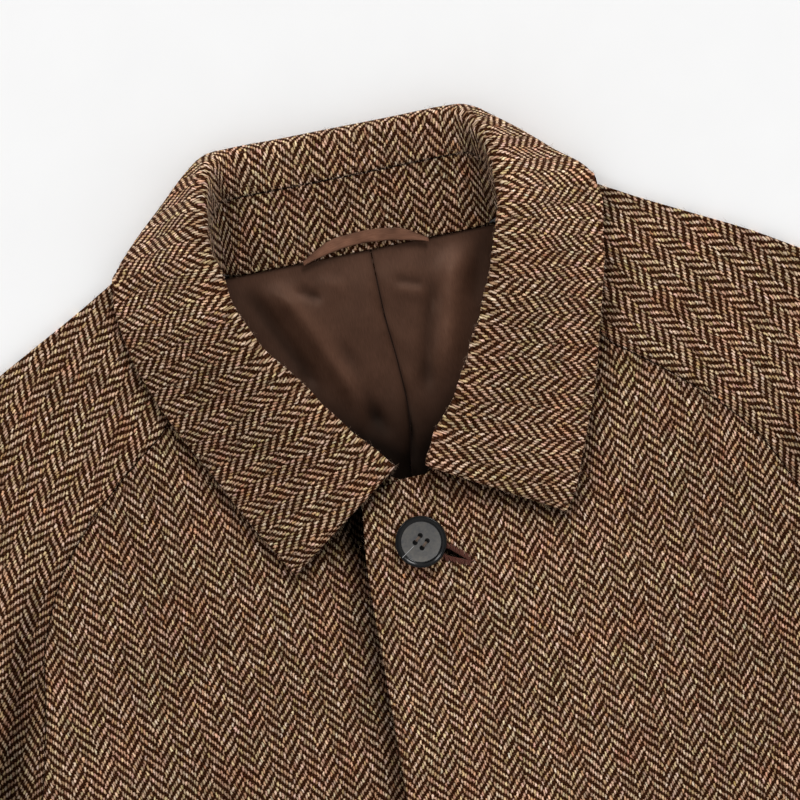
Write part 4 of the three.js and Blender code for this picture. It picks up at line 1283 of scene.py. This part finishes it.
def drill(obj, x, y, low=0.9, high=8.0, sides=24):
    """Cuts a round hole through the button at a place on its face."""
    ring = circle(BUTTON["hole"], sides, *spun(x, y))
    corners = placed_on_button([(px, py, z) for z in (low, high) for px, py in ring])
    walls = [(k, (k + 1) % sides, sides + (k + 1) % sides, sides + k) for k in range(sides)]
    ends = [tuple(range(sides - 1, -1, -1)), tuple(range(sides, 2 * sides))]
    mesh = bpy.data.meshes.new("bore")
    mesh.from_pydata([tuple(c) for c in (np.array(corners) + ORIGIN) * MM], [], ends + walls)
    bore = linked("bore", mesh)
    cut = obj.modifiers.new("hole", "BOOLEAN")
    cut.operation, cut.object, cut.solver = "DIFFERENCE", bore, "EXACT"
    bpy.context.view_layer.objects.active = obj
    bpy.ops.object.modifier_apply(modifier=cut.name)
    bpy.data.objects.remove(bore)


def paint_button(obj, reach, material, flat):
    """Gives one material to the faces near the middle, those that lie flat or those that stand."""
    centre = Vector(placed_on_button([(0, 0, BUTTON["face"])])[0])
    for polygon in obj.data.polygons:
        middle = polygon.center / MM - Vector(ORIGIN)
        within = math.hypot(middle.x - centre.x, middle.y - centre.y) < reach
        if within and (polygon.normal.z > 0.5 if flat else abs(polygon.normal.z) < 0.5):
            polygon.material_index = material


def button():
    points, faces = lathe(button_profile(), BUTTON["sides"])
    obj = make_object("button_disc", (placed_on_button(points), faces), HORN, ["button"])
    obj.data.materials.append(HORN_FACE)
    obj.data.materials.append(HORN_BORE)
    paint_button(obj, BUTTON["radius"] - BUTTON["rim"] - 0.3, 1, True)
    half = BUTTON["pitch"] / 2
    for sx, sy in ((1, 1), (1, -1), (-1, 1), (-1, -1)):
        drill(obj, sx * half, sy * half)
    paint_button(obj, 6, 2, False)
    bevel = obj.modifiers.new("edge", "BEVEL")
    bevel.width, bevel.segments = BUTTON["bevel"] * MM, 2
    bevel.limit_method, bevel.angle_limit = "ANGLE", math.radians(50)
    bpy.ops.object.modifier_apply(modifier=bevel.name)
    obj.data.polygons.foreach_set("use_smooth", [True] * len(obj.data.polygons))


def button_threads():
    """Two strands between each pair of holes, and a loose pale fibre across the face."""
    half, low, high = BUTTON["pitch"] / 2, BUTTON["face"] - 1.4, BUTTON["face"] + 0.05
    over = [(0.58, low), (0.52, high - 0.6), (0.4, high - 0.1), (0, high + 0.1), (-0.4, high - 0.1),
            (-0.52, high - 0.6), (-0.58, low)]
    strands = []
    for side in (-1, 1):
        for off in (-0.3, 0.3):
            path = placed_on_button([(*spun(side * half + off, across * half), z) for across, z in over])
            strands.append(tube(hermite(path, np.linspace(0, 6, 25)), 0.27))
    make_object("button_threads", joined(strands), BUTTON_THREAD)
    fibre = placed_on_button([(-10.2, -5.7, 4.5), (-9.5, -5.2, 4.2), (-8.6, -4.6, 3.5), (-7.2, -3.6, 3.12),
                              (-5.6, -2.5, 2.98), (-4.0, -1.4, 2.9)])
    make_object("loose_fibre", tube(hermite(fibre, np.linspace(0, 5, 21)), 0.13), SCRATCH)


STITCH = {"every": 0.7, "start": 0.3, "inner": -0.35, "reach": 2.1, "lean": 0.7, "bow": 0.55, "sink": 0.12}


def stitch_path(place, out, along, reach, lean):
    """A short thread from inside the slit over the cloth's edge, bowed up between its ends."""
    line = []
    for u in np.linspace(STITCH["inner"], reach, 7):
        q = place + out * u + along * lean * u
        z = height_at(LAP_CLOTH, q[0], q[1]) + CLOTH
        share = (u - reach / 2 + 0.18) / (reach / 2 + 0.35)
        line.append((q[0], q[1], z - STITCH["sink"] + STITCH["bow"] * math.sqrt(max(0.0, 1 - share**2))))
    return line


def buttonhole_stitches():
    """Purl stitches side by side round the slit, each a short thread over the cloth's edge."""
    outline = slit()
    closed = np.vstack([outline, outline[:1]])
    length = lengths_along(closed)
    rng = np.random.default_rng(5)
    pieces = []
    for s in np.arange(STITCH["start"], length[-1], STITCH["every"]):
        place, ahead = (along_axis(closed, 0, length, at) for at in (s, (s + 0.1) % length[-1]))
        along = ahead - place
        along /= max(np.linalg.norm(along), 1e-9)
        out = np.array([along[1], -along[0]])
        if inside(np.array([place + 0.3 * out]), outline)[0]:
            out = -out
        reach = STITCH["reach"] + rng.uniform(-0.3, 0.3)
        lean = STITCH["lean"] + rng.uniform(-0.25, 0.25)
        pieces.append(tube(stitch_path(place, out, along, reach, lean), rng.uniform(0.24, 0.36)))
    make_object("buttonhole_stitches", joined(pieces), THREAD)


def lining_thread():
    """The dark thread in the lining's centre seam."""
    path = np.array(rounded_path(LINING_SEAM[:-1] + [(3.7, -120)], 3))
    height = lining_height(path[:, 0], path[:, 1]) + 0.86 * LINING
    make_object("lining_thread", tube(np.column_stack([path, height])[1:], 0.28), SEAM_THREAD)


def collar_stitches():
    """The short stitches that hold fall and stand behind the neck."""
    rng = np.random.default_rng(8)
    lift = np.array([0, 0, 0.3])
    stitches = []
    for section in SECTIONS:
        if section[4] < 0.95:
            continue
        at = seam_point(section)
        up = unit(section[1] - at)
        for _ in range(2):
            middle = at + [rng.uniform(-3, 3), rng.uniform(-0.5, 0.5), STAND / 2 + rng.uniform(-0.1, 0.25)]
            lean = np.array([rng.uniform(-1.1, 1.1), 0, 0])
            half = up * rng.uniform(0.5, 1.3) + lean
            path = [middle - half - lift, middle, middle + half - lift]
            stitches.append(tube(path, rng.uniform(0.16, 0.3)))
    make_object("collar_stitches", joined(stitches), HAIR)


button()
button_threads()
buttonhole_stitches()
lining_thread()
collar_stitches()

# Loose fibres: how many stand on each piece, where they show, and the three rings of each
FUZZ = [("collar_fall", 3200), ("collar_stand", 300), ("front_left", 800), ("front_right", 700),
        ("sleeve_left_front", 700), ("sleeve_right_front", 700)]
FUZZ_AREA = {"x": 235, "low": -260, "facing": -0.2}
FUZZ_LENGTHS = (1.2, 3.4)
FUZZ_SPREAD = 0.5
FUZZ_BEND = 0.35
FUZZ_RADII = (0.05, 0.045, 0.015)
FUZZ_CORNERS = (0.5, 2.6, 4.7)
FUZZ_FLOOR = 0.2


def mesh_values(mesh, key):
    values = np.zeros(3 * len(mesh.vertices))
    mesh.vertices.foreach_get(key, values)
    return values.reshape(-1, 3)


def wool_fibre(root, up, ahead, size, bend):
    """Points and faces of one thin fibre with three sides."""
    path = [root - 0.15 * up, root + size * (0.5 * ahead + 0.22 * up),
            root + size * (ahead + 0.30 * up + bend)]
    side = np.cross(ahead, up)
    points = [p + radius * (math.cos(t) * side + math.sin(t) * up)
              for p, radius in zip(path, FUZZ_RADII) for t in FUZZ_CORNERS]
    faces = [(base + m, base + (m + 1) % 3, base + 3 + (m + 1) % 3, base + 3 + m)
             for base in (0, 3) for m in range(3)]
    return points, faces


def fuzz():
    """Short loose wool fibres that stand off the tweed, most of them on the collar."""
    rng = np.random.default_rng(17)
    fibres = []
    for name, count in FUZZ:
        mesh = bpy.data.objects[name + "_piece"].data
        place = mesh_values(mesh, "co") / MM - ORIGIN
        normal = mesh_values(mesh, "normal")
        shown = (np.abs(place[:, 0]) < FUZZ_AREA["x"]) & (place[:, 1] > FUZZ_AREA["low"])
        shown &= normal[:, 2] > FUZZ_AREA["facing"]
        chosen = rng.choice(np.flatnonzero(shown), count)
        roots = place[chosen] + rng.uniform(-FUZZ_SPREAD, FUZZ_SPREAD, (count, 3)) * [1, 1, 0]
        away = normal[chosen]
        heading = rng.normal(size=(count, 3))
        heading = unit(heading - away * (heading * away).sum(axis=1)[:, None])
        sizes = rng.uniform(*FUZZ_LENGTHS, count)
        for root, up, ahead, size in zip(roots, away, heading, sizes):
            fibres.append(wool_fibre(root, up, ahead, size, rng.uniform(-FUZZ_BEND, FUZZ_BEND, 3)))
    points, faces = joined(fibres)
    points = np.array(points)
    points[:, 2] = np.maximum(points[:, 2], FUZZ_FLOOR)
    make_object("fuzz", (points, faces), HAIR)


fuzz()

# Camera, straight down on the collar, turned as the coat lies in the picture
PICTURE_MM = 384.0
LENS = 250.0
SENSOR = 36.0
LOOK = (5.1, -73.5, 24.0)
TURN = math.radians(-11.5)
DOME = {"strength": 0.78, "dims_from": 0.72, "top": 0.32}
# Wide lamps: name, place, angle across and strength
SUNS = [("key", (0.85, 1.85, 1.75), math.radians(23), 1.70),
        ("glint", (-1.5, 1.3, 1.25), math.radians(14), 0.48)]


def camera():
    data = bpy.data.cameras.new("camera")
    data.lens, data.sensor_width, data.clip_end = LENS, SENSOR, 50.0
    data.sensor_fit = "HORIZONTAL"
    obj = linked("camera", data)
    distance = PICTURE_MM * MM * LENS / SENSOR
    obj.location = (LOOK[0] * MM, (LOOK[1] + GARMENT_Y) * MM, LOOK[2] * MM + distance)
    obj.rotation_euler = (0.0, 0.0, TURN)
    bpy.context.scene.camera = obj


def sun(name, place, angle, strength):
    data = bpy.data.lights.new(name, "SUN")
    data.angle, data.energy = angle, strength
    obj = linked(name, data)
    obj.location = place
    obj.rotation_euler = (-Vector(place)).to_track_quat("-Z", "Y").to_euler()


def floor(size=8.0):
    corners = [(-size, -size, 0), (size, -size, 0), (size, size, 0), (-size, size, 0)]
    mesh = bpy.data.meshes.new("floor")
    mesh.from_pydata(corners, [], [(0, 1, 2, 3)])
    n = Nodes("floor_white")
    grain = n.noise(n.object_place(), 30.0)
    n.put(n.shader.inputs["Base Color"], n.mixed(grain, (0.86, 0.86, 0.86, 1), (0.89, 0.89, 0.89, 1)))
    n.put(n.shader.inputs["Roughness"], 0.9)
    mesh.materials.append(n.material)
    linked("floor", mesh)


def dome():
    """Soft light from all round, less of it from straight above."""
    world = bpy.data.worlds.new("studio")
    world.use_nodes = True
    tree = world.node_tree
    rays = tree.nodes.new("ShaderNodeTexCoord")
    parts = tree.nodes.new("ShaderNodeSeparateXYZ")
    ramp = tree.nodes.new("ShaderNodeValToRGB")
    tree.links.new(rays.outputs["Generated"], parts.inputs[0])
    tree.links.new(parts.outputs[2], ramp.inputs[0])
    low, high = ramp.color_ramp.elements
    low.position, low.color = DOME["dims_from"], (1.0, 1.0, 1.0, 1.0)
    high.position, high.color = 1.0, (DOME["top"], DOME["top"], DOME["top"], 1.0)
    background = tree.nodes["Background"]
    tree.links.new(ramp.outputs[0], background.inputs["Color"])
    background.inputs["Strength"].default_value = DOME["strength"]
    bpy.context.scene.world = world
    bpy.context.scene.view_settings.view_transform = "Standard"


camera()
floor()
dome()
for lamp in SUNS:
    sun(*lamp)
